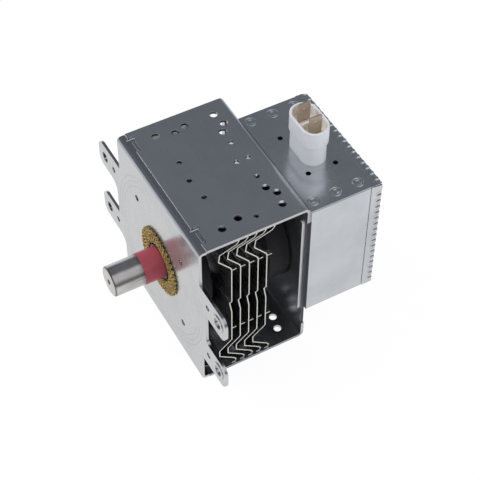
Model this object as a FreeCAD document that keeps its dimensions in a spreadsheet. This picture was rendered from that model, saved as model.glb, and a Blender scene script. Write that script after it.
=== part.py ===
import FreeCAD, Part
import Sketcher
import math
import os

# A cooking-oven magnetron in its own frame: millimetres, +Z up.
# The origin is where the antenna axis meets the outer face of the mounting plate.
# The antenna points along -Y, the filter box stands behind the yoke along +Y,
# and the open sides of the yoke, where the cooling air goes through, face +X and -X.

os.makedirs("parts", exist_ok=True)
doc = FreeCAD.newDocument("Magnetron")
sheet = doc.addObject("Spreadsheet::Sheet", "Size")


# Sizes that carry their own expression, so that one line of geometry drives the document too
class Quantity:
    def __init__(self, value, text):
        self.value = float(value)
        self.text = text

    def __add__(self, other):
        return Quantity(self.value + number(other), "(%s + %s)" % (self.text, wording(other)))

    def __radd__(self, other):
        return Quantity(number(other) + self.value, "(%s + %s)" % (wording(other), self.text))

    def __sub__(self, other):
        return Quantity(self.value - number(other), "(%s - %s)" % (self.text, wording(other)))

    def __rsub__(self, other):
        return Quantity(number(other) - self.value, "(%s - %s)" % (wording(other), self.text))

    def __mul__(self, other):
        return Quantity(self.value * number(other), "(%s * %s)" % (self.text, wording(other)))

    def __rmul__(self, other):
        return Quantity(number(other) * self.value, "(%s * %s)" % (wording(other), self.text))

    def __truediv__(self, other):
        return Quantity(self.value / number(other), "(%s / %s)" % (self.text, wording(other)))

    def __neg__(self):
        return Quantity(-self.value, "(0 - %s)" % self.text)


def number(item):
    if isinstance(item, Quantity):
        return item.value
    return float(item)


def wording(item):
    if isinstance(item, Quantity):
        return item.text
    return "(%.6g)" % float(item)


row_count = 0


def size(alias, value, note):
    global row_count
    row_count += 1
    sheet.set("A%d" % row_count, alias)
    sheet.set("B%d" % row_count, "%.6g" % value)
    sheet.set("C%d" % row_count, note)
    sheet.setAlias("B%d" % row_count, alias)
    return Quantity(value, "Size.%s" % alias)


def bind(item, path, value):
    if isinstance(value, Quantity):
        item.setExpression(path, value.text)


# Yoke and mounting plate
yoke_width = size("yoke_width", 80.0, "yoke sheet across the open sides")
yoke_height = size("yoke_height", 92.0, "outer height of the yoke")
yoke_depth = size("yoke_depth", 55.5, "front of the mounting plate to the back of the yoke")
yoke_sheet = size("yoke_sheet", 1.5, "yoke steel")
yoke_bend = size("yoke_bend", 3.0, "outer bend radius of the yoke")
plate_sheet = size("plate_sheet", 1.4, "mounting plate steel")
plate_bend = size("plate_bend", 2.4, "outer bend radius of the mounting plate")
flange_reach = size("flange_reach", 3.9, "front face to the end of the plate's short flanges")
seam_gap = size("seam_gap", 0.15, "gap along the seam and round the lock tongues")
relief_depth = size("relief_depth", 0.8, "back panel narrower than the legs, each side")
relief_half = size("relief_half", 36.5, "half height of that narrower stretch")
plate_bore = size("plate_bore", 9.3, "radius of the antenna hole in the mounting plate")
yoke_bore = size("yoke_bore", 9.4, "radius of the stem hole in yoke and filter box")

# Lock tongues that join the plate's flanges to the yoke's legs, with their hammered ridges
flange_drop = size("flange_drop", 0.45, "plate flanges lie lower than the legs")
lock_x = size("lock_x", 31.2, "lock tongue from the middle")
lock_near = size("lock_near", 3.5, "narrow side of a lock tongue")
lock_far = size("lock_far", 5.4, "wide side of a lock tongue")
lock_flare = size("lock_flare", 0.5, "lock tongue wider at its end")
lock_reach = size("lock_reach", 2.4, "length of a lock tongue")
lock_spur = size("lock_spur", 1.3, "spur of a lock tongue past its end")
lock_spur_width = size("lock_spur_width", 2.0, "width of that spur")
ridge_radius = size("ridge_radius", 0.65, "radius of a hammered ridge")
ridge_sink = size("ridge_sink", 0.08, "ridges lower than the legs")
ridge_start = size("ridge_start", 2.9, "ridge across a tongue, one way from its middle")
ridge_stop = size("ridge_stop", 3.2, "ridge across a tongue, other way from its middle")

# Ears of the mounting plate
ear_hole_x = size("ear_hole_x", 56.8, "fixing hole from the middle, across")
ear_hole_z = size("ear_hole_z", 17.6, "fixing hole above and below the antenna")
ear_hole_d = size("ear_hole_d", 5.4, "fixing hole")
ear_width = size("ear_width", 15.0, "height of an ear")
ear_tip = size("ear_tip", 63.6, "end of an ear from the middle")
ear_corner = size("ear_corner", 5.0, "rounded ear corner")
ear_step = size("ear_step", 45.0, "plate edge between two ears, from the middle")
ear_root_fillet = size("ear_root_fillet", 5.5, "hollow corner under the left ears")
ear_notch_fillet = size("ear_notch_fillet", 3.0, "hollow corner above the lower right ear")
tack_hole_x = size("tack_hole_x", 47.3, "small hole at the root of an ear, across")
tack_hole_d = size("tack_hole_d", 3.2, "small hole at the root of an ear")
ear_ring_d = size("ear_ring_d", 8.8, "pressed ring round the right fixing holes")
ear_ring_rise = size("ear_ring_rise", 0.35, "height of that ring")
plate_hole_x = size("plate_hole_x", 21.8, "small plate hole from the antenna, across")
plate_hole_z = size("plate_hole_z", 22.2, "small plate hole from the antenna, up")
plate_hole_d = size("plate_hole_d", 3.4, "small plate hole")

# Holes in the two legs of the yoke
vent_d = size("vent_d", 3.8, "large hole of the legs")
pilot_d = size("pilot_d", 2.6, "small hole of the legs")
bead_x = size("bead_x", 35.9, "pressed bead of the back panel from the middle")
bead_low = size("bead_low", 28.0, "lower end of the bead below the antenna")
bead_high = size("bead_high", 34.3, "upper end of the bead above the antenna")
bead_half = size("bead_half", 1.1, "half width of the bead")
bead_rise = size("bead_rise", 0.7, "height of the bead")

# Magnets
magnet_radius = size("magnet_radius", 28.0, "outer radius of a magnet ring")
magnet_bore = size("magnet_bore", 10.3, "inner radius of a magnet ring")
magnet_length = size("magnet_length", 12.0, "thickness of a magnet ring")
magnet_chamfer = size("magnet_chamfer", 0.9, "broken edge of a magnet")

# Vacuum tube
seal_sheet = size("seal_sheet", 0.8, "seal cup steel")
seal_flange = size("seal_flange", 18.8, "radius of a seal cup flange")
neck_radius = size("neck_radius", 8.5, "outer radius of a seal cup neck")
neck_wall = size("neck_wall", 0.65, "wall of a seal cup neck")
neck_front = size("neck_front", 0.8, "antenna neck in front of the plate")
neck_back = size("neck_back", 2.5, "stem neck behind the yoke")
anode_radius = size("anode_radius", 19.5, "outer radius of the anode shell")
anode_bore = size("anode_bore", 17.4, "inner radius of the anode shell")
vane_count = 10
vane_tip = size("vane_tip", 4.6, "radius of the vane tips")
vane_sheet = size("vane_sheet", 1.8, "thickness of a vane")
vane_length = size("vane_length", 9.6, "vane along the axis")
strap_depth = size("strap_depth", 1.3, "depth of the strap groove")
strap_height = size("strap_height", 1.1, "strap ring along the axis")
strap_wall = size("strap_wall", 0.8, "strap ring across")
strap_inner = size("strap_inner", 5.8, "inner radius of the small strap ring")
strap_spacing = size("strap_spacing", 1.5, "small to large strap ring")
strap_clear = size("strap_clear", 0.25, "clearance of the straps in their groove")
pole_sheet = size("pole_sheet", 1.6, "pole piece iron")
pole_clear = size("pole_clear", 0.2, "pole piece in the shell")
pole_mouth = size("pole_mouth", 4.8, "hole of a pole piece")
pole_tip = size("pole_tip", 7.0, "outer radius at the tip of a pole piece")
pole_base = size("pole_base", 12.0, "radius where the cone of a pole piece starts")
pole_gap = size("pole_gap", 1.6, "pole piece tip to the vanes")

# Cathode
coil_radius = size("coil_radius", 2.0, "filament winding radius")
coil_wire = size("coil_wire", 0.3, "filament wire radius")
coil_turns = 6
hat_radius = size("hat_radius", 3.3, "end hat radius")
hat_length = size("hat_length", 1.2, "end hat thickness")
hat_gap = size("hat_gap", 0.2, "end hat outside the vanes")
lead_radius = size("lead_radius", 0.7, "cathode lead radius")
lead_clear = size("lead_clear", 0.06, "lead in its hole")
side_lead_z = size("side_lead_z", 2.4, "side lead from the axis")
pin_z = size("pin_z", 3.2, "stem pins from the axis")
pin_radius = size("pin_radius", 1.0, "stem pin radius")
pin_length = size("pin_length", 6.0, "stem pin length")
stem_length = size("stem_length", 13.5, "stem ceramic length")
ceramic_radius = size("ceramic_radius", 7.75, "radius of stem and antenna ceramics")

# Antenna
ceramic_front = size("ceramic_front", 10.8, "antenna ceramic in front of the plate")
ceramic_back = size("ceramic_back", 2.5, "antenna ceramic behind the front of the plate")
ceramic_bore = size("ceramic_bore", 5.4, "bore of the antenna ceramic")
cap_front = size("cap_front", 26.3, "tip of the antenna in front of the plate")
cap_radius = size("cap_radius", 7.55, "antenna cap radius")
cap_wall = size("cap_wall", 0.5, "antenna cap wall")
cap_round = size("cap_round", 1.0, "rounded edge of the cap")
cap_hole = size("cap_hole", 1.4, "radius of the hole in the cap's end")
tube_radius = size("tube_radius", 3.3, "exhaust tube radius")
tube_wall = size("tube_wall", 0.9, "exhaust tube wall")
tube_length = size("tube_length", 7.0, "exhaust tube before the pinch")
pinch_length = size("pinch_length", 4.6, "pinched end of the exhaust tube")
pinch_half = size("pinch_half", 0.45, "half thickness of the pinched end")
feeder_radius = size("feeder_radius", 0.9, "antenna feeder rod radius")
feeder_offset = size("feeder_offset", 9.6, "feeder from the axis at its vane")
feeder_rise = size("feeder_rise", 3.1, "bend of the feeder behind the end of the shell")
gasket_outer = size("gasket_outer", 17.8, "outer radius of the woven gasket")
gasket_inner = size("gasket_inner", 9.6, "inner radius of the woven gasket")
gasket_rise = size("gasket_rise", 1.4, "gasket in front of the plate")

# Cooling fins
fin_sheet = size("fin_sheet", 0.5, "fin aluminium")
fin_width = size("fin_width", 78.0, "fin across")
fin_pitch = size("fin_pitch", 4.45, "fin to fin")
fin_first = size("fin_first", 16.6, "web of the first fin behind the plate's front")
fin_fit = size("fin_fit", 0.04, "fin collar on the anode")
fin_collar = size("fin_collar", 2.4, "length of a fin collar")
fin_bend = size("fin_bend", 6.5, "forward offset of the fin arms")
fin_lip = size("fin_lip", 3.6, "reach of the lip that presses on the yoke")
fin_web_high = size("fin_web_high", 25.2, "upper end of the flat web")
fin_web_low = size("fin_web_low", 26.0, "lower end of the flat web")
fin_jog = size("fin_jog", 1.1, "stiffening jog of the web")
fin_tab = size("fin_tab", 2.2, "length of the edge tabs")
fin_tab_width = size("fin_tab_width", 2.6, "width of the edge tabs")
fin_tab_low = size("fin_tab_low", 17.0, "lower edge tabs below the antenna")

# Filter box
box_left = size("box_left", 25.9, "filter box to the left of the antenna")
box_right = size("box_right", 41.1, "filter box to the right of the antenna")
box_low = size("box_low", 25.0, "filter box below the antenna")
box_high = size("box_high", 44.1, "filter box above the antenna")
box_depth = size("box_depth", 36.6, "filter box behind the yoke")
box_sheet = size("box_sheet", 0.8, "filter box steel")
box_round = size("box_round", 0.7, "rounded long edges of the filter box")
lid_reach = size("lid_reach", 5.7, "side flanges of the lid")
lid_gap = size("lid_gap", 0.35, "open line between box and lid")
lid_clear = size("lid_clear", 0.1, "lid tongue inside the box")
lid_tongue = size("lid_tongue", 3.6, "lid tongue inside the box, along Y")
lid_slope = size("lid_slope", 1.0, "lid sides lower at the back corner")
lid_slope_width = size("lid_slope_width", 2.4, "that opening, across")
hem_sheet = size("hem_sheet", 0.45, "crimped edges thicker than the sheet")
top_lip = size("top_lip", 0.3, "thin side edges of the crimped top sheet")
lip_width = size("lip_width", 1.5, "width of those thin edges")
flange_gap = size("flange_gap", 0.1, "lid sides under the thin edges")
crease_y = size("crease_y", 3.9, "crease of the top sheet from its back edge")
crease_width = size("crease_width", 0.7, "width of that crease")
crease_depth = size("crease_depth", 0.14, "depth of that crease")
corner_long = size("corner_long", 3.8, "cut rear corner of the top sheet, along")
corner_wide = size("corner_wide", 1.3, "cut rear corner of the top sheet, across")
joggle_length = size("joggle_length", 1.2, "step between lid flange and tongue")
flute_pitch = size("flute_pitch", 3.9, "crimp flutes")
flute_length = size("flute_length", 3.4, "length of a flute")
flute_depth = size("flute_depth", 0.62, "depth of a flute")
flute_lift = size("flute_lift", 1.6, "axis of a flute above the sheet")
flute_inset = size("flute_inset", 2.5, "first flute of the top from the corner")
flute_low = size("flute_low", 4.4, "first flute of the sides from the corner")
clinch_ring = size("clinch_ring", 2.55, "radius of the ridge round a press joint")
clinch_ridge = size("clinch_ridge", 0.35, "half width of that ridge")
clinch_rise = size("clinch_rise", 0.16, "height of that ridge")
clinch_pit = size("clinch_pit", 1.65, "radius of the pit of a press joint")
clinch_depth = size("clinch_depth", 0.46, "depth of a press joint")
clinch_inset_left = size("clinch_inset_left", 5.2, "left press joints from the box side")
clinch_inset_right = size("clinch_inset_right", 5.6, "right press joints from the box side")
clinch_start = size("clinch_start", 3.9, "first press joint behind the yoke")
clinch_pitch = size("clinch_pitch", 11.65, "press joint to press joint")

# Connector and feed-through capacitor
socket_x = size("socket_x", 7.6, "connector from the antenna, across")
socket_shift = size("socket_shift", 0.7, "connector in front of the middle of the filter box")
socket_height = size("socket_height", 20.0, "connector rim above the filter box")
collar_height = size("collar_height", 9.0, "upper collar of the connector")
collar_half_x = size("collar_half_x", 11.15, "half length of the connector rim")
collar_half_y = size("collar_half_y", 6.75, "half width of the connector rim")
collar_step = size("collar_step", 0.7, "step under the collar")
socket_wall = size("socket_wall", 1.2, "wall of the connector")
socket_floor = size("socket_floor", 5.0, "depth of the connector recess")
floor_sheet = size("floor_sheet", 5.5, "floor of the connector recess")
divider_sheet = size("divider_sheet", 1.2, "wall between the two tabs")
divider_height = size("divider_height", 3.2, "height of that wall")
tab_pitch = size("tab_pitch", 9.8, "blade to blade")
tab_width = size("tab_width", 6.35, "blade width")
tab_sheet = size("tab_sheet", 0.8, "blade thickness")
tab_rise = size("tab_rise", 5.6, "blade above the rim")
tab_chamfer = size("tab_chamfer", 0.45, "blade tip corners")
tab_hole = size("tab_hole", 0.9, "radius of the hole in a blade")
tab_hole_drop = size("tab_hole_drop", 3.6, "that hole under the tip")
tab_fit = size("tab_fit", 0.05, "blade in its slot")
rod_radius = size("rod_radius", 0.9, "capacitor rod radius")
rod_reach = size("rod_reach", 4.0, "rod below the capacitor case")
eyelet_half_x = size("eyelet_half_x", 12.6, "eyelets from the connector, across")
eyelet_edge = size("eyelet_edge", 2.0, "eyelets from the edge of the base plate")
eyelet_d = size("eyelet_d", 2.5, "eyelet hole")
base_half_x = size("base_half_x", 15.5, "half length of the capacitor base plate")
base_clear = size("base_clear", 0.25, "capacitor base plate before the lid's tongue")
base_sheet = size("base_sheet", 0.8, "capacitor base plate")
case_half_x = size("case_half_x", 10.2, "half length of the capacitor case")
case_half_y = size("case_half_y", 5.9, "half width of the capacitor case")
case_length = size("case_length", 14.0, "capacitor case below its plate")
case_wall = size("case_wall", 1.0, "capacitor case wall")
block_clear = size("block_clear", 0.2, "ceramic block in its case")
block_rise = size("block_rise", 6.0, "ceramic block above the filter box top")

# Chokes
choke_x = size("choke_x", 24.0, "chokes from the antenna, across")
choke_first = size("choke_first", 10.5, "first choke behind the yoke")
choke_spacing = size("choke_spacing", 14.0, "first choke to the second")
choke_radius = size("choke_radius", 3.7, "winding radius of a choke")
choke_wire = size("choke_wire", 0.7, "choke wire radius")
choke_pitch = size("choke_pitch", 3.6, "choke winding pitch")
choke_turns = 7
winding_corners = 8
choke_clear = size("choke_clear", 0.4, "choke winding on its core")
core_length = size("core_length", 30.0, "ferrite core length")

# Places that several pieces share
half_width = yoke_width / 2
half_height = yoke_height / 2
leg_inside = half_height - yoke_sheet
front_seal = plate_sheet + magnet_length
rear_magnet_end = yoke_depth - yoke_sheet
rear_seal = rear_magnet_end - magnet_length
shell_front = front_seal + seal_sheet
shell_back = rear_seal - seal_sheet
vane_front = (shell_front + shell_back - vane_length) / 2
vane_back = vane_front + vane_length
box_end = yoke_depth + box_depth
box_seam = box_end - lid_reach - lid_gap
box_ceiling = box_high - box_sheet
flute_start = box_end - flute_length
connector_y = yoke_depth + box_depth / 2 - socket_shift
base_half_y = box_seam - lid_tongue - base_clear - connector_y
eyelet_half_y = base_half_y - eyelet_edge

nodes = []
cuts = []


# Document helpers
def new_body(label):
    body = doc.addObject("PartDesign::Body", label)
    body.Label = label
    nodes.append(body)
    return body


def origin_plane(body, role):
    for feature in body.Origin.OriginFeatures:
        if feature.Role == role:
            return feature
    raise RuntimeError("no plane %s in %s" % (role, body.Label))


def new_sketch(body, role, offset=0.0):
    sketch = body.newObject("Sketcher::SketchObject", body.Label + "_sketch")
    sketch.AttachmentSupport = [(origin_plane(body, role), "")]
    sketch.MapMode = "FlatFace"
    shift = FreeCAD.Vector(0, 0, number(offset))
    sketch.AttachmentOffset = FreeCAD.Placement(shift, FreeCAD.Rotation())
    bind(sketch, ".AttachmentOffset.Base.z", offset)
    return sketch


def fix_point(sketch, geometry, place, x, y):
    index = sketch.addConstraint(
        Sketcher.Constraint("DistanceX", -1, 1, geometry, place, number(x)))
    bind(sketch, "Constraints[%d]" % index, x)
    index = sketch.addConstraint(
        Sketcher.Constraint("DistanceY", -1, 1, geometry, place, number(y)))
    bind(sketch, "Constraints[%d]" % index, y)


def add_loop(sketch, corners, arcs=None):
    # arcs: segment index to (radius, turn), turn +1 where the outline runs anticlockwise round it
    arcs = arcs or {}
    first = sketch.GeometryCount
    count = len(corners)
    points = [FreeCAD.Vector(number(x), number(y), 0) for x, y in corners]
    ends = []
    for i in range(count):
        start = points[i]
        stop = points[(i + 1) % count]
        if i in arcs:
            radius, turn = arcs[i]
            chord = stop - start
            half = chord.Length / 2
            rise = math.sqrt(max(number(radius) ** 2 - half ** 2, 0.0))
            side = FreeCAD.Vector(-chord.y, chord.x, 0) / chord.Length
            centre = (start + stop) / 2 + side * rise * turn
            a = math.atan2(start.y - centre.y, start.x - centre.x)
            b = math.atan2(stop.y - centre.y, stop.x - centre.x)
            if turn < 0:
                a, b = b, a
            if b < a:
                b += 2 * math.pi
            circle = Part.Circle(centre, FreeCAD.Vector(0, 0, 1), number(radius))
            sketch.addGeometry(Part.ArcOfCircle(circle, a, b), False)
            ends.append((1, 2) if turn > 0 else (2, 1))
        else:
            sketch.addGeometry(Part.LineSegment(start, stop), False)
            ends.append((1, 2))
    for i in range(count):
        after = (i + 1) % count
        sketch.addConstraint(Sketcher.Constraint(
            "Coincident", first + i, ends[i][1], first + after, ends[after][0]))
    for i in range(count):
        fix_point(sketch, first + i, ends[i][0], corners[i][0], corners[i][1])
        if i in arcs:
            radius = arcs[i][0]
            index = sketch.addConstraint(
                Sketcher.Constraint("Radius", first + i, number(radius)))
            bind(sketch, "Constraints[%d]" % index, radius)


def add_box(sketch, x_low, y_low, x_high, y_high):
    add_loop(sketch, [(x_low, y_low), (x_high, y_low), (x_high, y_high), (x_low, y_high)])


def add_circle(sketch, x, y, radius):
    centre = FreeCAD.Vector(number(x), number(y), 0)
    circle = Part.Circle(centre, FreeCAD.Vector(0, 0, 1), number(radius))
    index = sketch.addGeometry(circle, False)
    fix_point(sketch, index, 3, x, y)
    constraint = sketch.addConstraint(Sketcher.Constraint("Radius", index, number(radius)))
    bind(sketch, "Constraints[%d]" % constraint, radius)


def add_oval(sketch, x, y, half_x, half_y):
    # a slot shape: straight sides along the first axis, round ends made of quarter arcs
    flat = half_x - half_y
    corners = [(x - flat, y - half_y), (x + flat, y - half_y), (x + half_x, y),
               (x + flat, y + half_y), (x - flat, y + half_y), (x - half_x, y)]
    quarter = (half_y, 1)
    add_loop(sketch, corners, {1: quarter, 2: quarter, 4: quarter, 5: quarter})


def add_extrusion(body, sketch, length, cut=False, reverse=False):
    kind = "PartDesign::Pocket" if cut else "PartDesign::Pad"
    before = body.Tip
    feature = body.newObject(kind, body.Label + ("_pocket" if cut else "_pad"))
    feature.Profile = sketch
    feature.Length = number(length)
    bind(feature, "Length", length)
    feature.Reversed = reverse
    if cut:
        cuts.append((feature, before))
    return feature


def pad_y(body, draw, start, stop):
    sketch = new_sketch(body, "XZ_Plane", -start)
    draw(sketch)
    return add_extrusion(body, sketch, stop - start, reverse=True)


def cut_y(body, draw, start, stop):
    sketch = new_sketch(body, "XZ_Plane", -start)
    draw(sketch)
    return add_extrusion(body, sketch, stop - start, cut=True)


def pad_z(body, draw, start, stop):
    sketch = new_sketch(body, "XY_Plane", start)
    draw(sketch)
    return add_extrusion(body, sketch, stop - start)


def cut_z(body, draw, start, stop):
    sketch = new_sketch(body, "XY_Plane", stop)
    draw(sketch)
    return add_extrusion(body, sketch, stop - start, cut=True)


def pad_x(body, draw, start, stop):
    sketch = new_sketch(body, "YZ_Plane", start)
    draw(sketch)
    return add_extrusion(body, sketch, stop - start)


def cut_x(body, draw, start, stop):
    sketch = new_sketch(body, "YZ_Plane", stop)
    draw(sketch)
    return add_extrusion(body, sketch, stop - start, cut=True)


def revolve_y(body, corners, arcs=None, cut=False):
    # a profile of (y, radius) corners turned round the tube axis
    sketch = new_sketch(body, "YZ_Plane")
    add_loop(sketch, corners, arcs)
    kind = "PartDesign::Groove" if cut else "PartDesign::Revolution"
    before = body.Tip
    feature = body.newObject(kind, body.Label + ("_groove" if cut else "_turned"))
    feature.Profile = sketch
    feature.ReferenceAxis = (sketch, ["H_Axis"])
    feature.Angle = 360.0
    if cut:
        cuts.append((feature, before))
    return feature


def round_edges(body, radius, choose):
    doc.recompute()
    before = body.Tip
    names = []
    for i, edge in enumerate(before.Shape.Edges):
        if choose(edge):
            names.append("Edge%d" % (i + 1))
    if not names:
        raise RuntimeError("no edge to round in %s" % body.Label)
    feature = body.newObject("PartDesign::Fillet", body.Label + "_fillet")
    feature.Base = (before, names)
    feature.Radius = number(radius)
    bind(feature, "Radius", radius)
    return feature


# Mounting plate: one sheet with short flanges, four ears and the lock tongues
plate = new_body("mounting_plate")
plate_inner_bend = plate_bend - plate_sheet
flange_top = half_height - flange_drop
lock_end = flange_reach + lock_reach
spur_end = lock_end + lock_spur


def draw_plate_profile(sketch):
    top = flange_top
    corners = [
        (flange_reach, top), (plate_bend, top), (plate_sheet * 0, top - plate_bend),
        (plate_sheet * 0, plate_bend - top), (plate_bend, -top), (flange_reach, -top),
        (flange_reach, plate_sheet - top), (plate_bend, plate_sheet - top),
        (plate_sheet, plate_bend - top), (plate_sheet, top - plate_bend),
        (plate_bend, top - plate_sheet), (flange_reach, top - plate_sheet)]
    arcs = {1: (plate_bend, 1), 3: (plate_bend, 1),
            7: (plate_inner_bend, -1), 9: (plate_inner_bend, -1)}
    add_loop(sketch, corners, arcs)


pad_x(plate, draw_plate_profile, -half_width, half_width)


def draw_ears(sketch):
    inside = half_width - 3
    high = ear_hole_z + ear_width / 2
    low = ear_hole_z - ear_width / 2
    corner = ear_corner
    # right side, upper ear then lower ear
    corners = [
        (inside, high), (inside, -high), (ear_tip - corner, -high), (ear_tip, corner - high),
        (ear_tip, -low - corner), (ear_tip - corner, -low), (ear_step + ear_notch_fillet, -low),
        (ear_step, ear_notch_fillet - low), (ear_step, low), (ear_tip - corner, low),
        (ear_tip, low + corner), (ear_tip, high - corner), (ear_tip - corner, high)]
    arcs = {2: (corner, 1), 4: (corner, 1), 6: (ear_notch_fillet, -1), 9: (corner, 1),
            11: (corner, 1)}
    add_loop(sketch, corners, arcs)
    # left side, with the hollow corners under both ears
    root = ear_root_fillet
    corners = [
        (-inside, high), (corner - ear_tip, high), (-ear_tip, high - corner),
        (-ear_tip, low + corner), (corner - ear_tip, low), (-ear_step - root, low),
        (-ear_step, low - root), (-ear_step, -low), (corner - ear_tip, -low),
        (-ear_tip, -low - corner), (-ear_tip, corner - high), (corner - ear_tip, -high),
        (-half_width - root, -high), (-half_width, -high - root), (-inside, -high - root)]
    arcs = {1: (corner, 1), 3: (corner, 1), 5: (root, -1), 8: (corner, 1), 10: (corner, 1),
            12: (root, -1)}
    add_loop(sketch, corners, arcs)


pad_y(plate, draw_ears, plate_sheet * 0, plate_sheet)


def draw_ear_rings(sketch):
    for side in (1, -1):
        add_circle(sketch, ear_hole_x, ear_hole_z * side, ear_ring_d / 2)


pad_y(plate, draw_ear_rings, -ear_ring_rise, plate_sheet / 2)


def add_tongue(sketch, middle, root, gap):
    # the outline of one tongue, or with a gap the notch round it
    far = middle - lock_far - gap
    near = middle + lock_near + gap
    spur = middle - lock_far - lock_flare + lock_spur_width + gap
    add_loop(sketch, [
        (far, root), (near, root), (near, flange_reach + gap),
        (near + lock_flare, lock_end + gap), (spur, lock_end + gap), (spur, spur_end + gap),
        (far - lock_flare, spur_end + gap), (far, flange_reach + gap)])


def draw_tongues(sketch):
    for side in (1, -1):
        add_tongue(sketch, lock_x * side, flange_reach - 0.5, 0)


pad_z(plate, draw_tongues, flange_top - plate_sheet, flange_top)
pad_z(plate, draw_tongues, -flange_top, plate_sheet - flange_top)
ridge_z = half_height - ridge_sink - ridge_radius


def draw_cross_ridges(sketch):
    for level in (1, -1):
        add_circle(sketch, lock_end - ridge_radius * 1.5, ridge_z * level, ridge_radius)


def draw_long_ridges(sketch):
    for side in (1, -1):
        for level in (1, -1):
            x = lock_x * side - lock_far + ridge_radius * 0.9
            add_circle(sketch, x, ridge_z * level, ridge_radius)


for side in (1, -1):
    pad_x(plate, draw_cross_ridges, lock_x * side - ridge_start, lock_x * side + ridge_stop)
pad_y(plate, draw_long_ridges, plate_bend + 0.5, spur_end - 0.3)


def draw_plate_holes(sketch):
    add_circle(sketch, 0, 0, plate_bore)
    for side in (1, -1):
        for level in (1, -1):
            add_circle(sketch, ear_hole_x * side, ear_hole_z * level, ear_hole_d / 2)
            add_circle(sketch, tack_hole_x * side, ear_hole_z * level, tack_hole_d / 2)
            add_circle(sketch, plate_hole_x * side, plate_hole_z * level, plate_hole_d / 2)


cut_y(plate, draw_plate_holes, -ear_ring_rise, plate_sheet)

# Yoke: one sheet bent into a U that the mounting plate closes
yoke = new_body("yoke_frame")
leg_start = flange_reach + seam_gap
yoke_inner_bend = yoke_bend - yoke_sheet


def draw_yoke_profile(sketch):
    top = half_height
    back = yoke_depth
    corners = [
        (leg_start, top), (leg_start, top - yoke_sheet), (back - yoke_bend, top - yoke_sheet),
        (back - yoke_sheet, top - yoke_bend), (back - yoke_sheet, yoke_bend - top),
        (back - yoke_bend, yoke_sheet - top), (leg_start, yoke_sheet - top), (leg_start, -top),
        (back - yoke_bend, -top), (back, yoke_bend - top), (back, top - yoke_bend),
        (back - yoke_bend, top)]
    arcs = {2: (yoke_inner_bend, -1), 4: (yoke_inner_bend, -1),
            8: (yoke_bend, 1), 10: (yoke_bend, 1)}
    add_loop(sketch, corners, arcs)


pad_x(yoke, draw_yoke_profile, -half_width, half_width)


def draw_lock_notches(sketch):
    for side in (1, -1):
        add_tongue(sketch, lock_x * side, flange_reach - 0.5, seam_gap)


cut_z(yoke, draw_lock_notches, leg_inside, half_height)
cut_z(yoke, draw_lock_notches, -half_height, -leg_inside)

# the two legs carry the same hole pattern, turned over with the sheet
vent_pairs = [(31.9, 15.8), (29.7, 24.8), (31.8, 45.8), (24.7, 47.3), (19.8, 44.3)]
vent_single = (-31.6, 30.6)
pilot_pairs = [(12.0, 44.3), (11.9, 17.7)]
pilot_middle = [16.6, 40.65, 46.6]
pilot_single = (32.4, 32.3)
places = {}
for i, (x, y) in enumerate(vent_pairs):
    places["vent", i] = (size("vent%s_x" % "abcde"[i], x, "large hole pair, across"),
                         size("vent%s_y" % "abcde"[i], y, "large hole pair, along"))
for i, (x, y) in enumerate(pilot_pairs):
    places["pilot", i] = (size("pilot%s_x" % "abcde"[i], x, "small hole pair, across"),
                          size("pilot%s_y" % "abcde"[i], y, "small hole pair, along"))
for i, y in enumerate(pilot_middle):
    places["middle", i] = size("middle%s_y" % "abcde"[i], y, "small hole on the middle line")
vent_odd_x = size("vent_odd_x", -vent_single[0], "single large hole, across")
vent_odd_y = size("vent_odd_y", vent_single[1], "single large hole, along")
pilot_odd_x = size("pilot_odd_x", pilot_single[0], "single small hole, across")
pilot_odd_y = size("pilot_odd_y", pilot_single[1], "single small hole, along")


def draw_leg_holes(turned):
    def draw(sketch):
        for key, place in places.items():
            if key[0] == "middle":
                add_circle(sketch, 0, place, pilot_d / 2)
                continue
            radius = vent_d / 2 if key[0] == "vent" else pilot_d / 2
            add_circle(sketch, place[0], place[1], radius)
            add_circle(sketch, -place[0], place[1], radius)
        add_circle(sketch, -vent_odd_x * turned, vent_odd_y, vent_d / 2)
        add_circle(sketch, pilot_odd_x * turned, pilot_odd_y, pilot_d / 2)
    return draw


cut_z(yoke, draw_leg_holes(1), leg_inside, half_height)
cut_z(yoke, draw_leg_holes(-1), -half_height, -leg_inside)


def draw_back_cuts(sketch):
    add_circle(sketch, 0, 0, yoke_bore)
    for side in (1, -1):
        near = (half_width - relief_depth) * side
        far = (half_width + 1) * side
        low, high = (near, far) if side > 0 else (far, near)
        add_box(sketch, low, -relief_half, high, relief_half)


cut_y(yoke, draw_back_cuts, yoke_depth - yoke_sheet, yoke_depth)


def draw_beads(sketch):
    for side in (1, -1):
        x = bead_x * side
        low = bead_half - bead_low
        high = bead_high - bead_half
        corners = [(x - bead_half, high), (x - bead_half, low), (x, -bead_low),
                   (x + bead_half, low), (x + bead_half, high), (x, bead_high)]
        quarter = (bead_half, 1)
        add_loop(sketch, corners, {1: quarter, 2: quarter, 4: quarter, 5: quarter})


pad_y(yoke, draw_beads, rear_magnet_end - bead_rise, rear_magnet_end + yoke_sheet / 2)


# Magnet rings, one against each end of the yoke
def build_magnet(label, start, stop):
    body = new_body(label)
    c = magnet_chamfer
    revolve_y(body, [
        (start, magnet_bore), (stop, magnet_bore), (stop, magnet_radius - c),
        (stop - c, magnet_radius), (start + c, magnet_radius), (start, magnet_radius - c)])
    return body


build_magnet("front_magnet", plate_sheet, front_seal)
build_magnet("rear_magnet", rear_seal, rear_magnet_end)

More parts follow.
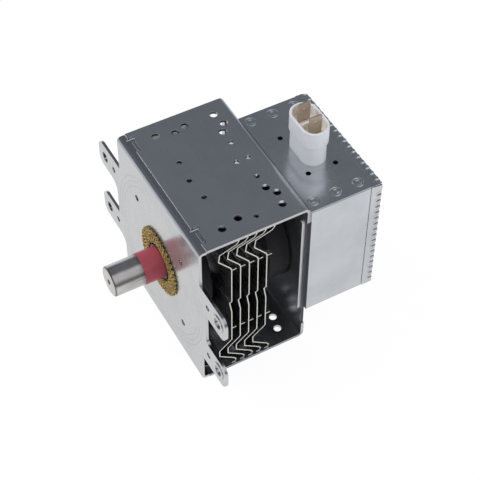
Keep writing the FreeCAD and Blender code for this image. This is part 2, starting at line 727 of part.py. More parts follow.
# Anode: shell and vanes in one piece of copper, with a groove for the straps at each end
anode = new_body("anode_block")
revolve_y(anode, [(shell_front, anode_bore), (shell_back, anode_bore),
                  (shell_back, anode_radius), (shell_front, anode_radius)])
vane_sketch = new_sketch(anode, "XZ_Plane", -vane_front)
add_box(vane_sketch, -vane_sheet / 2, vane_tip, vane_sheet / 2, anode_bore + 0.3)
vane = add_extrusion(anode, vane_sketch, vane_length, reverse=True)
vanes = anode.newObject("PartDesign::PolarPattern", "vanes")
vanes.Originals = [vane]
vanes.Axis = (vane_sketch, ["N_Axis"])
vanes.Angle = 360.0
vanes.Occurrences = vane_count
anode.Tip = vanes
groove_inner = strap_inner - strap_clear
groove_outer = strap_inner + strap_spacing + strap_wall + strap_clear
for start, stop in ((vane_front - 0.4, vane_front + strap_depth),
                    (vane_back - strap_depth, vane_back + 0.4)):
    revolve_y(anode, [(start, groove_inner), (stop, groove_inner),
                      (stop, groove_outer), (start, groove_outer)], cut=True)


def build_ring(label, start, stop, inner, outer):
    body = new_body(label)
    revolve_y(body, [(start, inner), (stop, inner), (stop, outer), (start, outer)])
    return body


front_floor = vane_front + strap_depth
back_floor = vane_back - strap_depth
large_strap = strap_inner + strap_spacing
build_ring("strap_small_front", front_floor - strap_height, front_floor,
           strap_inner, strap_inner + strap_wall)
build_ring("strap_large_front", front_floor - strap_height, front_floor,
           large_strap, large_strap + strap_wall)
build_ring("strap_small_rear", back_floor, back_floor + strap_height,
           strap_inner, strap_inner + strap_wall)
build_ring("strap_large_rear", back_floor, back_floor + strap_height,
           large_strap, large_strap + strap_wall)


# Pole pieces: iron funnels in the ends of the shell
def build_pole(label, base, tip, way):
    body = new_body(label)
    rim = anode_bore - pole_clear
    sheet_y = pole_sheet * way
    revolve_y(body, [
        (base, rim), (base + sheet_y, rim), (base + sheet_y, pole_base), (tip, pole_tip),
        (tip, pole_mouth), (tip - sheet_y, pole_mouth),
        (tip - sheet_y, pole_tip - pole_sheet / 2), (base, pole_base - pole_sheet / 2)])
    return body


pole_front_tip = vane_front - pole_gap
pole_front = build_pole("pole_piece_front", shell_front, pole_front_tip, 1)
build_pole("pole_piece_rear", shell_back, vane_back + pole_gap, -1)


def draw_feeder_hole(sketch):
    add_circle(sketch, 0, feeder_offset - 0.4, feeder_radius + 1)


cut_y(pole_front, draw_feeder_hole, shell_front, pole_front_tip)


# Seal cups: flange on the shell, neck through the magnet and the plate
def build_seal(label, flange_magnet, flange_shell, mouth, lip_end, way):
    body = new_body(label)
    inner = neck_radius - neck_wall
    lip = seal_sheet * 0.75 * way
    corners = [
        (flange_shell, seal_flange), (flange_magnet, seal_flange), (flange_magnet, neck_radius),
        (mouth, neck_radius), (mouth, inner), (lip_end, inner), (lip_end, ceramic_bore + 0.4),
        (lip_end + lip, ceramic_bore + 0.4), (lip_end + lip, inner), (flange_shell, inner)]
    revolve_y(body, corners)
    return body


build_seal("antenna_side_seal", front_seal, shell_front, -neck_front, ceramic_back, 1)
build_seal("filter_side_seal", rear_seal, shell_back, yoke_depth + neck_back,
           yoke_depth - 4, -1)

# Antenna: ceramic window, exhaust tube, cap, feeder rod
build_ring("antenna_ceramic", -ceramic_front, ceramic_back, ceramic_bore,
           ceramic_radius)
tube = new_body("exhaust_tube")
flange_front = -ceramic_front - 0.6
pinch_front = flange_front - tube_length
bore_end = pinch_front + tube_wall
revolve_y(tube, [
    (-ceramic_front, tube_radius - tube_wall), (-ceramic_front, ceramic_bore + 1.4),
    (flange_front, ceramic_bore + 1.4), (flange_front, tube_radius),
    (pinch_front, tube_radius), (pinch_front, tube_radius * 0),
    (bore_end, tube_radius * 0), (bore_end, tube_radius - tube_wall)])
wide_sketch = new_sketch(tube, "XZ_Plane", -pinch_front)
add_oval(wide_sketch, tube_radius * 0, tube_radius * 0, tube_radius - 0.15,
         tube_radius - 0.45)
flat_sketch = new_sketch(tube, "XZ_Plane", -(pinch_front - pinch_length))
add_oval(flat_sketch, tube_radius * 0, tube_radius * 0, tube_radius + 0.9, pinch_half)
pinch = tube.newObject("PartDesign::AdditiveLoft", "exhaust_tube_pinch")
pinch.Profile = wide_sketch
pinch.Sections = [flat_sketch]
pinch.Ruled = True

cap = new_body("antenna_cap")
inner_cap = cap_radius - cap_wall
revolve_y(cap, [
    (-ceramic_front, cap_radius), (cap_round - cap_front, cap_radius),
    (-cap_front, cap_radius - cap_round), (-cap_front, cap_hole),
    (cap_wall - cap_front, cap_hole), (cap_wall - cap_front, inner_cap),
    (-ceramic_front, inner_cap)], {1: (cap_round, 1)})

feeder = new_body("antenna_feeder")
feeder_path = new_sketch(feeder, "YZ_Plane")
bend_one = shell_front + feeder_rise
bend_two = bend_one - feeder_offset
feeder_points = [(vane_front, feeder_offset), (bend_one, feeder_offset),
                 (bend_two, feeder_offset * 0), (-ceramic_front - 4, feeder_offset * 0)]
for i in range(3):
    start = FreeCAD.Vector(number(feeder_points[i][0]), number(feeder_points[i][1]), 0)
    stop = FreeCAD.Vector(number(feeder_points[i + 1][0]), number(feeder_points[i + 1][1]), 0)
    feeder_path.addGeometry(Part.LineSegment(start, stop), False)
for i in range(2):
    feeder_path.addConstraint(Sketcher.Constraint("Coincident", i, 2, i + 1, 1))
for i in range(3):
    fix_point(feeder_path, i, 1, feeder_points[i][0], feeder_points[i][1])
fix_point(feeder_path, 2, 2, feeder_points[3][0], feeder_points[3][1])
feeder_section = new_sketch(feeder, "XZ_Plane", -vane_front)
add_circle(feeder_section, 0, feeder_offset, feeder_radius)
rod = feeder.newObject("PartDesign::AdditivePipe", "antenna_feeder_rod")
rod.Profile = feeder_section
rod.Spine = (feeder_path, ["Edge1", "Edge2", "Edge3"])
rod.Transition = "Round corner"

gasket = new_body("rf_gasket")
gasket_mid = (gasket_outer + gasket_inner) / 2
gasket_flank = gasket_rise * 0.45
shoulder = (gasket_outer - gasket_inner) * 0.18
revolve_y(gasket, [
    (gasket_rise * 0, gasket_outer), (-gasket_flank, gasket_outer),
    (-gasket_rise, gasket_outer - shoulder), (-gasket_rise, gasket_inner + shoulder),
    (-gasket_flank, gasket_inner), (gasket_rise * 0, gasket_inner)])

# Cathode: filament between two end hats, carried by two leads from the stem
hat_front_stop = vane_front - hat_gap
hat_back_start = vane_back + hat_gap
filament_start = hat_front_stop + coil_wire
filament_span = hat_back_start - hat_front_stop - coil_wire * 2


def build_winding(label, centre, way, radius, wire, span, turns, corners):
    # round wire bent into short chords round an axis: way 1 along Z, way 2 along Y
    steps = int(turns * corners)
    points = []
    for i in range(steps + 1):
        angle = math.pi + 2 * math.pi * i / corners
        across = number(radius) * math.cos(angle)
        side = number(radius) * math.sin(angle)
        along = number(span) * i / steps
        if way == 1:
            points.append(FreeCAD.Vector(across, side, along))
        else:
            points.append(FreeCAD.Vector(side, along, across))
    ahead = points[1] - points[0]
    lie = FreeCAD.Rotation(FreeCAD.Vector(0, 0, 1), ahead)
    rim = []
    for i in range(7):
        angle = 2 * math.pi * (i % 6) / 6
        spot = FreeCAD.Vector(math.cos(angle), math.sin(angle), 0) * number(wire)
        rim.append(points[0] + lie.multVec(spot))
    section = Part.makePolygon(rim)
    shape = Part.makePolygon(points).makePipeShell([section], True, False, 1)
    winding = doc.addObject("Part::Feature", label)
    winding.Label = label
    winding.Shape = shape
    x, y, z = centre
    winding.Placement = FreeCAD.Placement(
        FreeCAD.Vector(number(x), number(y), number(z)), FreeCAD.Rotation())
    nodes.append(winding)


zero = coil_wire * 0
build_winding("filament", (zero, filament_start, zero), 2, coil_radius, coil_wire,
              filament_span, coil_turns, winding_corners)

lead_hole = lead_radius + lead_clear
build_ring("end_hat_front", hat_front_stop - hat_length, hat_front_stop, lead_hole, hat_radius)
build_ring("end_hat_rear", hat_back_start, hat_back_start + hat_length,
           lead_hole + 0.4, hat_radius)
stem_end = yoke_depth + neck_back + stem_length - 7


def build_lead(label, start, level_start, level_end):
    body = new_body(label)
    path = new_sketch(body, "YZ_Plane")
    points = [(start, level_start), (rear_seal - 1, level_start),
              (rear_seal + 7, level_end), (stem_end, level_end)]
    for i in range(3):
        a = FreeCAD.Vector(number(points[i][0]), number(points[i][1]), 0)
        b = FreeCAD.Vector(number(points[i + 1][0]), number(points[i + 1][1]), 0)
        path.addGeometry(Part.LineSegment(a, b), False)
    for i in range(2):
        path.addConstraint(Sketcher.Constraint("Coincident", i, 2, i + 1, 1))
    for i in range(3):
        fix_point(path, i, 1, points[i][0], points[i][1])
    fix_point(path, 2, 2, points[3][0], points[3][1])
    section = new_sketch(body, "XZ_Plane", -start)
    add_circle(section, 0, level_start, lead_radius)
    pipe = body.newObject("PartDesign::AdditivePipe", label + "_rod")
    pipe.Profile = section
    pipe.Spine = (path, ["Edge1", "Edge2", "Edge3"])
    pipe.Transition = "Round corner"
    return body


build_lead("center_lead", hat_front_stop - hat_length, lead_radius * 0, pin_z)
build_lead("side_lead", hat_back_start + hat_length, -side_lead_z, -pin_z)

# Stem: ceramic with the two lead holes, and the pins that the chokes are welded to
stem = build_ring("stem_ceramic", yoke_depth - 4, stem_end, lead_radius * 0 + 0.0,
                  ceramic_radius)


def draw_stem_holes(sketch):
    add_circle(sketch, 0, pin_z, lead_hole)
    add_circle(sketch, 0, -pin_z, lead_hole)


cut_y(stem, draw_stem_holes, yoke_depth - 4, stem_end)
for label, level in (("stem_pin_upper", pin_z), ("stem_pin_lower", -pin_z)):
    pin = new_body(label)

    def draw_pin(sketch, level=level):
        add_circle(sketch, 0, level, pin_radius)

    pad_y(pin, draw_pin, stem_end, stem_end + pin_length)


# Cooling fins: one folded sheet each, pressed on the anode by a collar
def fin_line():
    reach = half_height - yoke_sheet - fin_sheet / 2
    zero = fin_sheet * 0
    return [
        (fin_lip - 1.3, reach), (fin_lip, reach - 1.5), (fin_lip - 1.3, reach - 3.2),
        (-fin_bend + 0.6, reach - 5.9), (-fin_bend, reach - 10.2),
        (zero - 0.5, fin_web_high + 1.5), (zero, fin_web_high), (zero, zero + 2.7),
        (-fin_jog, zero + 2.1), (zero, zero - 4.9), (zero, -fin_web_low),
        (-fin_bend, -fin_web_low - 5.3), (-fin_bend, 8.9 - reach),
        (fin_lip - 2.4, 3.0 - reach), (fin_lip - 1.3, 1.3 - reach),
        (fin_lip - 2.0, -reach), (fin_lip - 3.6, -reach)]


def fin_outline():
    # both faces of the sheet: half its thickness to each side, mitred at the folds
    line = fin_line()
    flat = [(number(y), number(z)) for y, z in line]
    directions = []
    for i in range(len(flat) - 1):
        dy = flat[i + 1][0] - flat[i][0]
        dz = flat[i + 1][1] - flat[i][1]
        length = math.hypot(dy, dz)
        directions.append((dy / length, dz / length))
    left = []
    right = []
    for i in range(len(flat)):
        before = directions[max(i - 1, 0)]
        after = directions[min(i, len(directions) - 1)]
        normal_y = -(before[1] + after[1])
        normal_z = before[0] + after[0]
        length = math.hypot(normal_y, normal_z)
        normal_y /= length
        normal_z /= length
        stretch = 1.0 / max(-before[1] * normal_y + before[0] * normal_z, 0.4)
        left.append((line[i][0] + fin_sheet * (normal_y * stretch / 2),
                     line[i][1] + fin_sheet * (normal_z * stretch / 2)))
        right.append((line[i][0] - fin_sheet * (normal_y * stretch / 2),
                      line[i][1] - fin_sheet * (normal_z * stretch / 2)))
    return left + right[::-1]


def build_fin(index):
    body = new_body("cooling_fin_%d" % (index + 1))
    half = fin_width / 2

    def draw_profile(sketch):
        add_loop(sketch, fin_outline())

    pad_x(body, draw_profile, -half, half)
    hole = anode_radius + fin_fit

    def draw_collar(sketch):
        add_circle(sketch, 0, 0, hole + fin_sheet)

    def draw_hole(sketch):
        add_circle(sketch, 0, 0, hole)

    pad_y(body, draw_collar, -fin_sheet / 2, fin_collar - fin_sheet / 2)
    cut_y(body, draw_hole, -fin_sheet - fin_jog, fin_collar + 0.1)

    def draw_tabs(sketch):
        for side in (1, -1):
            near = (half - fin_tab_width) * side
            low, high = (near, half * side) if side > 0 else (-half, near)
            add_box(sketch, low, fin_web_high - fin_sheet, high, fin_web_high)
            add_box(sketch, low, -fin_tab_low - fin_sheet, high, -fin_tab_low)

    pad_y(body, draw_tabs, fin_sheet * 0, fin_sheet / 2 + fin_tab)
    place = fin_first + fin_pitch * index
    body.Placement = FreeCAD.Placement(FreeCAD.Vector(0, number(place), 0), FreeCAD.Rotation())
    bind(body, ".Placement.Base.y", place)
    return body


for i in range(5):
    build_fin(i)

# Filter box: folded steel box on the back of the yoke, its top edge crimped over the lid
box = new_body("filter_box")


def draw_box_outer(sketch):
    add_box(sketch, -box_left, -box_low, box_right, box_high)


def draw_box_inner(sketch):
    add_box(sketch, box_sheet - box_left, box_sheet - box_low,
            box_right - box_sheet, box_ceiling)


pad_y(box, draw_box_outer, yoke_depth, box_seam)
cut_y(box, draw_box_inner, yoke_depth + box_sheet, box_seam)


long_edge = number(box_depth) / 2


def long_corner(edge):
    if len(edge.Vertexes) != 2:
        return False
    a = edge.Vertexes[0].Point
    b = edge.Vertexes[1].Point
    if abs(a.x - b.x) > 1e-4 or abs(a.z - b.z) > 1e-4 or abs(a.y - b.y) < long_edge:
        return False
    outer_x = min(abs(a.x + number(box_left)), abs(a.x - number(box_right))) < 1e-4
    outer_z = min(abs(a.z + number(box_low)), abs(a.z - number(box_high))) < 1e-4
    return outer_x and outer_z


round_edges(box, box_round, long_corner)


def draw_top_sheet(sketch):
    side_in = top_lip / 2
    add_box(sketch, side_in - box_left, box_ceiling, box_right - side_in, box_high)


def draw_top_hem(sketch):
    add_box(sketch, lip_width - box_left, box_ceiling - hem_sheet, box_right - lip_width,
            box_ceiling + 0.1)


def draw_top_lips(sketch):
    add_box(sketch, -box_left - 0.1, box_ceiling - 0.1, lip_width - box_left,
            box_high - top_lip)
    add_box(sketch, box_right - lip_width, box_ceiling - 0.1, box_right + 0.1,
            box_high - top_lip)


pad_y(box, draw_top_sheet, box_seam, box_end)
pad_y(box, draw_top_hem, flute_start, box_end)
cut_y(box, draw_top_lips, box_seam, box_end)


def draw_stem_bore(sketch):
    add_circle(sketch, 0, 0, yoke_bore)


cut_y(box, draw_stem_bore, yoke_depth, yoke_depth + box_sheet)


def draw_box_top_holes(sketch):
    add_oval(sketch, socket_x, connector_y, case_half_x - 0.6, case_half_y - 0.6)
    for side in (1, -1):
        for row in (1, -1):
            add_circle(sketch, socket_x + eyelet_half_x * side,
                       connector_y + eyelet_half_y * row, eyelet_d / 2)


cut_z(box, draw_box_top_holes, box_ceiling, box_high)


def press_joints():
    columns = (clinch_inset_left - box_left, box_right - clinch_inset_right)
    return [(x, yoke_depth + clinch_start + clinch_pitch * i) for x in columns for i in range(3)]


def turn_about(body, x, y, outline, arcs, cut):
    # a small profile turned round an upright axis at x, y
    sketch = new_sketch(body, "YZ_Plane", x)
    add_loop(sketch, outline, arcs)
    start = FreeCAD.Vector(number(y), number(box_ceiling), 0)
    stop = FreeCAD.Vector(number(y), number(box_high), 0)
    index = sketch.addGeometry(Part.LineSegment(start, stop), True)
    fix_point(sketch, index, 1, y, box_ceiling)
    fix_point(sketch, index, 2, y, box_high)
    before = body.Tip
    kind = "PartDesign::Groove" if cut else "PartDesign::Revolution"
    feature = body.newObject(kind, body.Label + "_joint")
    feature.Profile = sketch
    feature.ReferenceAxis = (sketch, ["Axis0"])
    feature.Angle = 360.0
    if cut:
        cuts.append((feature, before))


pit_radius = (clinch_pit * number(clinch_pit) + clinch_depth * number(clinch_depth)) / (
    number(clinch_depth) * 2)
for x, y in press_joints():
    turn_about(box, x, y, [(y, box_high - clinch_depth), (y + clinch_pit, box_high),
                           (y, box_high)], {0: (pit_radius, 1)}, True)
    turn_about(box, x, y, [(y + clinch_ring - clinch_ridge, box_high - 0.1),
                           (y + clinch_ring + clinch_ridge, box_high - 0.1),
                           (y + clinch_ring + clinch_ridge, box_high),
                           (y + clinch_ring, box_high + clinch_rise),
                           (y + clinch_ring - clinch_ridge, box_high)], {}, False)


def draw_crease(sketch):
    add_box(sketch, -box_left - 0.1, box_end - crease_y - crease_width, box_right + 0.1,
            box_end - crease_y)


def draw_cut_corners(sketch):
    end = box_end + 0.1
    add_loop(sketch, [(-box_left - 0.1, box_end - corner_long), (corner_wide - box_left, end),
                      (-box_left - 0.1, end)])
    add_loop(sketch, [(box_right + 0.1, box_end - corner_wide), (box_right + 0.1, end),
                      (box_right - corner_wide / 2, end)])


cut_z(box, draw_crease, box_high - crease_depth, box_high)
cut_z(box, draw_cut_corners, box_ceiling - hem_sheet, box_high)


def cut_flutes(body, plane, outline, axis_line, direction, span, first):
    # one tapered flute turned round an axis above the sheet, then repeated along the edge
    sketch = new_sketch(body, plane, first)
    add_loop(sketch, outline)
    start = FreeCAD.Vector(number(axis_line[0][0]), number(axis_line[0][1]), 0)
    stop = FreeCAD.Vector(number(axis_line[1][0]), number(axis_line[1][1]), 0)
    index = sketch.addGeometry(Part.LineSegment(start, stop), True)
    fix_point(sketch, index, 1, axis_line[0][0], axis_line[0][1])
    fix_point(sketch, index, 2, axis_line[1][0], axis_line[1][1])
    before = body.Tip
    flute = body.newObject("PartDesign::Groove", body.Label + "_flute")
    flute.Profile = sketch
    flute.ReferenceAxis = (sketch, ["Axis0"])
    flute.Angle = 360.0
    cuts.append((flute, before))
    pattern = body.newObject("PartDesign::LinearPattern", body.Label + "_flutes")
    pattern.Originals = [flute]
    pattern.Direction = (sketch, ["N_Axis"])
    count = int(math.floor(number(span) / number(flute_pitch) + 0.5)) + 1
    pattern.Length = number(flute_pitch) * (count - 1)
    bind(pattern, "Length", flute_pitch * (count - 1))
    pattern.Occurrences = count
    pattern.Reversed = direction < 0
    body.Tip = pattern


flute_over = box_end + 0.2


def flute_outline(wall, way, first):
    # corners of a dent that starts shallow, is deepest before the edge and shallower at the edge
    steps = [(0.0, 0.0), (0.24, 0.62), (0.5, 1.0), (0.78, 0.95), (1.0, 0.55)]
    outline = [(flute_start + flute_length * along, wall - flute_depth * (deep * way))
               for along, deep in steps]
    outline[-1] = (flute_over, outline[-1][1])
    lifted = wall + flute_lift * way
    outline += [(flute_over, lifted), (flute_start, lifted)]
    if first:
        return [(b, a) for a, b in outline]
    return outline


cut_flutes(box, "YZ_Plane", flute_outline(box_high, 1, 0),
           [(flute_start, box_high + flute_lift), (flute_over, box_high + flute_lift)],
           1, box_left + box_right - flute_inset * 2, flute_inset - box_left)

# Lid: back wall with flanges on three sides, a tongue inside the box and a shelf under its top
lid = new_body("filter_box_lid")
lid_front = box_seam + lid_gap
lid_top = box_ceiling - hem_sheet - lid_clear
deep = box_sheet * 2 + lid_clear


def draw_lid_outer(sketch):
    add_box(sketch, -box_left, -box_low, box_right, lid_top)


def draw_lid_step(sketch):
    add_box(sketch, deep - box_left, deep - box_low, box_right - deep, lid_top - box_sheet)


def draw_lid_inner(sketch):
    wall = box_sheet + hem_sheet
    add_box(sketch, wall - box_left, box_sheet - box_low, box_right - wall, lid_top - box_sheet)


def draw_lid_tongue(sketch):
    rim = box_sheet + lid_clear
    add_box(sketch, rim - box_left, rim - box_low, box_right - rim, lid_top)
    add_box(sketch, deep - box_left, deep - box_low, box_right - deep, lid_top - box_sheet)


def draw_lid_sides(sketch):
    wall = box_sheet + hem_sheet
    high = box_high - top_lip - flange_gap
    add_box(sketch, -box_left, lid_top - 1, wall - box_left, high)
    add_box(sketch, box_right - wall, lid_top - 1, box_right, high)


pad_y(lid, draw_lid_outer, lid_front, box_end)
pad_y(lid, draw_lid_sides, lid_front, box_end)
cut_y(lid, draw_lid_step, lid_front, lid_front + joggle_length)
cut_y(lid, draw_lid_inner, lid_front + joggle_length, box_end - box_sheet)
pad_y(lid, draw_lid_tongue, box_seam - lid_tongue, lid_front + 0.1)


def draw_lid_slope(sketch):
    high = box_high - top_lip - flange_gap
    add_loop(sketch, [(lid_front - 0.1, high), (box_end + 0.1, high - lid_slope),
                      (box_end + 0.1, high + 0.1), (lid_front - 0.1, high + 0.1)])


cut_x(lid, draw_lid_slope, box_right - lid_slope_width, box_right + 0.1)
cut_x(lid, draw_lid_slope, -box_left - 0.1, lid_slope_width - box_left)
side_span = box_low + box_high - flute_low * 2
for way, wall in ((1, box_right), (-1, -box_left)):
    lifted = wall + flute_lift * way
    cut_flutes(lid, "XY_Plane", flute_outline(wall, way, 1),
               [(lifted, flute_start), (lifted, flute_over)], 1, side_span,
               flute_low - box_low)

# Connector housing: white oval socket on top of the filter box
housing = new_body("connector_housing")
rim_z = box_high + socket_height
floor_z = rim_z - socket_floor
body_half_x = collar_half_x - collar_step
body_half_y = collar_half_y - collar_step


def draw_housing_body(sketch):
    add_oval(sketch, socket_x, connector_y, body_half_x, body_half_y)


def draw_housing_collar(sketch):
    add_oval(sketch, socket_x, connector_y, collar_half_x, collar_half_y)


def draw_recess(sketch):
    add_oval(sketch, socket_x, connector_y, collar_half_x - socket_wall,
             collar_half_y - socket_wall)


def draw_block_room(sketch):
    add_oval(sketch, socket_x, connector_y, case_half_x - case_wall, case_half_y - case_wall)


def draw_divider(sketch):
    half = divider_sheet / 2
    reach = collar_half_y - socket_wall / 2
    add_box(sketch, socket_x - half, connector_y - reach, socket_x + half, connector_y + reach)


def draw_tab_slots(sketch):
    half_x = tab_sheet / 2 + tab_fit
    half_y = tab_width / 2 + tab_fit
    for side in (1, -1):
        x = socket_x + tab_pitch / 2 * side
        add_box(sketch, x - half_x, connector_y - half_y, x + half_x, connector_y + half_y)


pad_z(housing, draw_housing_body, box_high, rim_z - collar_height)
pad_z(housing, draw_housing_collar, rim_z - collar_height, rim_z)
cut_z(housing, draw_recess, floor_z, rim_z)
cut_z(housing, draw_block_room, box_high, floor_z - floor_sheet)
pad_z(housing, draw_divider, floor_z - 0.3, floor_z + divider_height)
cut_z(housing, draw_tab_slots, floor_z - floor_sheet, floor_z)

# Blades with the rods that pass through the capacitor
case_top = box_ceiling - base_sheet
case_bottom = case_top - case_length
blade_bottom = floor_z - floor_sheet
rod_bottom = case_bottom - rod_reach
for label, side in (("terminal_tab_left", -1), ("terminal_tab_right", 1)):
    tab = new_body(label)
    x = socket_x + tab_pitch / 2 * side
    tip = rim_z + tab_rise

    def draw_blade(sketch, tip=tip):
        low = connector_y - tab_width / 2
        high = connector_y + tab_width / 2
        add_loop(sketch, [(low, blade_bottom), (high, blade_bottom), (high, tip - tab_chamfer),
                          (high - tab_chamfer, tip), (low + tab_chamfer, tip),
                          (low, tip - tab_chamfer)])
        add_circle(sketch, connector_y, tip - tab_hole_drop, tab_hole)

    def draw_rod(sketch, x=x):
        add_circle(sketch, x, connector_y, rod_radius)

    pad_x(tab, draw_blade, x - tab_sheet / 2, x + tab_sheet / 2)
    pad_z(tab, draw_rod, rod_bottom, blade_bottom)

# Capacitor under the box top: base plate, ceramic block and case
base = new_body("capacitor_base_plate")


def draw_base(sketch):
    add_box(sketch, socket_x - base_half_x, connector_y - base_half_y,
            socket_x + base_half_x, connector_y + base_half_y)
    add_oval(sketch, socket_x, connector_y, case_half_x - case_wall, case_half_y - case_wall)
    for side in (1, -1):
        for row in (1, -1):
            add_circle(sketch, socket_x + eyelet_half_x * side,
                       connector_y + eyelet_half_y * row, eyelet_d / 2)


pad_z(base, draw_base, case_top, box_ceiling)
case = new_body("capacitor_case")


def draw_case(sketch):
    add_oval(sketch, socket_x, connector_y, case_half_x, case_half_y)


def draw_case_holes(sketch):
    for side in (1, -1):
        add_circle(sketch, socket_x + tab_pitch / 2 * side, connector_y, rod_radius + tab_fit)


pad_z(case, draw_case, case_bottom, case_top)
cut_z(case, draw_block_room, case_bottom + case_wall, case_top)
cut_z(case, draw_case_holes, case_bottom, case_bottom + case_wall)
block = new_body("capacitor_ceramic")


def draw_block(sketch):
    add_oval(sketch, socket_x, connector_y, case_half_x - case_wall - block_clear,
             case_half_y - case_wall - block_clear)
    for side in (1, -1):
        add_circle(sketch, socket_x + tab_pitch / 2 * side, connector_y, rod_radius + tab_fit)


pad_z(block, draw_block, case_bottom + case_wall, box_high + block_rise)

# Chokes: wire wound on ferrite rods, standing beside the stem
choke_height = choke_pitch * choke_turns
choke_low = -choke_height / 2
for index in (0, 1):
    y = yoke_depth + choke_first + choke_spacing * index
    core = doc.addObject("Part::Cylinder", "choke_core_%d" % (index + 1))
    core.Label = "choke_core_%d" % (index + 1)
    core_radius = choke_radius - choke_wire - choke_clear
    core.Radius = number(core_radius)
    core.Height = number(core_length)
    bind(core, "Radius", core_radius)
    bind(core, "Height", core_length)
    core_base = -core_length / 2
    core.Placement = FreeCAD.Placement(
        FreeCAD.Vector(number(choke_x), number(y), number(core_base)), FreeCAD.Rotation())
    bind(core, ".Placement.Base.x", choke_x)
    bind(core, ".Placement.Base.y", y)
    bind(core, ".Placement.Base.z", core_base)
    nodes.append(core)
    build_winding("choke_coil_%d" % (index + 1), (choke_x, y, choke_low), 1, choke_radius,
                  choke_wire, choke_height, choke_turns, winding_corners)


# Choke leads: bent round wire between coil ends, capacitor rods and stem pins
def build_wire(label, points):
    vectors = [FreeCAD.Vector(number(x), number(y), number(z)) for x, y, z in points]
    path = Part.makePolygon(vectors)
    start = vectors[0]
    ahead = vectors[1] - vectors[0]
    ring = Part.Wire(Part.makeCircle(number(choke_wire), start, ahead))
    shape = path.makePipeShell([ring], True, True, 2)
    wire = doc.addObject("Part::Feature", label)
    wire.Label = label
    wire.Shape = shape
    wire.Placement = FreeCAD.Placement()
    nodes.append(wire)


coil_x = choke_x - choke_radius
coil_high = -choke_low
first_y = yoke_depth + choke_first
second_y = first_y + choke_spacing
left_rod = socket_x - tab_pitch / 2
right_rod = socket_x + tab_pitch / 2
pin_tip = stem_end + pin_length
build_wire("choke_lead_upper_1", [
    (coil_x, first_y, coil_high), (coil_x, first_y - 2.6, coil_high),
    (right_rod, connector_y, rod_bottom - 4), (right_rod, connector_y, rod_bottom)])
build_wire("choke_lead_upper_2", [
    (coil_x, second_y, coil_high), (coil_x, second_y - 2.6, coil_high),
    (left_rod, connector_y, rod_bottom - 4), (left_rod, connector_y, rod_bottom)])
build_wire("choke_lead_lower_1", [
    (coil_x, first_y, choke_low), (coil_x, first_y + 2.6, choke_low),
    (pin_radius * 0, pin_tip + 5, -pin_z), (pin_radius * 0, pin_tip, -pin_z)])
build_wire("choke_lead_lower_2", [
    (coil_x, second_y, choke_low), (coil_x, second_y + 2.6, choke_low),
    (pin_radius * 0, pin_tip + 5, pin_z), (pin_radius * 0, pin_tip, pin_z)])

# Check the document, then write one file for each piece
doc.recompute()
faults = []
for item in doc.Objects:
    if "Invalid" in item.State or "Error" in item.State:
        faults.append("%s is %s" % (item.Label, item.State))
for feature, before in cuts:
    if feature.Shape.Volume > before.Shape.Volume - 1e-3:
        faults.append("%s removes nothing" % feature.Label)
for node in nodes:
    shape = node.Shape
    if shape.isNull() or not shape.isValid():
        faults.append("%s has no valid shape" % node.Label)
    elif len(shape.Solids) != 1:
        faults.append("%s has %d solids" % (node.Label, len(shape.Solids)))
if faults:
    raise RuntimeError("; ".join(faults))
for node in nodes:
    node.Shape.exportStep("parts/%s.step" % node.Label)
    box_of = node.Shape.BoundBox
    print("%-24s %9.1f mm3  x %.1f..%.1f y %.1f..%.1f z %.1f..%.1f" % (
        node.Label, node.Shape.Volume, box_of.XMin, box_of.XMax,
        box_of.YMin, box_of.YMax, box_of.ZMin, box_of.ZMax))
print("%d pieces" % len(nodes))
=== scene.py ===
"""Magnetron of a microwave oven: finishes, knitted gasket, windings and studio round the part."""
import math

import bpy
import numpy as np
from bpy.props import FloatProperty, FloatVectorProperty, IntProperty, PointerProperty
from bpy.types import Operator, Panel, PropertyGroup
from mathutils import Euler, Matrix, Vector


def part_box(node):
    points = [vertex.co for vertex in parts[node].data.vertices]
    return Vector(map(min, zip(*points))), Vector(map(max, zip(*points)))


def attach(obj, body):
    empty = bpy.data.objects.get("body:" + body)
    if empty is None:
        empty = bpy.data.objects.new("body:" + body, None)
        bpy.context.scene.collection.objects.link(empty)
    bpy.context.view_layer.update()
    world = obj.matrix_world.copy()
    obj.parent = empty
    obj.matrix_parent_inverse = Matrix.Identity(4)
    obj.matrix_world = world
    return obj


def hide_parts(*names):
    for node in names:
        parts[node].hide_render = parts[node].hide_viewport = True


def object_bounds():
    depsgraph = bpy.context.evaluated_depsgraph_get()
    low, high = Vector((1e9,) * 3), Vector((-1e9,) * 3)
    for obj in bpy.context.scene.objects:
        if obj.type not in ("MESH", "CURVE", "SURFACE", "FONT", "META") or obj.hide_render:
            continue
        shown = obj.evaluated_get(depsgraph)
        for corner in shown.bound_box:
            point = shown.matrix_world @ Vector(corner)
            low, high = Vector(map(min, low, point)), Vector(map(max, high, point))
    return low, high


bl_info = {
    "name": "Magnetron",
    "version": (1, 0, 0),
    "blender": (4, 5, 0),
    "location": "3D View > Sidebar > Magnetron",
    "description": "Dresses the magnetron and sets its studio",
    "category": "Object",
}

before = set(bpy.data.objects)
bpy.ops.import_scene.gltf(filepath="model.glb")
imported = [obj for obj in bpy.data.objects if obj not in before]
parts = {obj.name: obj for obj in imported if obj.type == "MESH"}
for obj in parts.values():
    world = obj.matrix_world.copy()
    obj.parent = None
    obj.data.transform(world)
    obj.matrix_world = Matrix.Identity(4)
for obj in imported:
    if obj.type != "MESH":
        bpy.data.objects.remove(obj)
cad_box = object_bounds()

# Steps of a coil's turn, sides of its wire
COIL_STEPS = 28
COIL_SIDES = 10

# Gasket: bore radius, roundness of its section, steps of a stitch, sides of its wire and of the dark
# body that paints the shade between the wires
GASKET_BORE = 0.0096
SECTION_POWER = 0.72
STITCH_STEPS = 10
WIRE_SIDES = 4
CORE_STEPS = 96
CORE_SIDES = 24
LAP = 6.28


# Settings

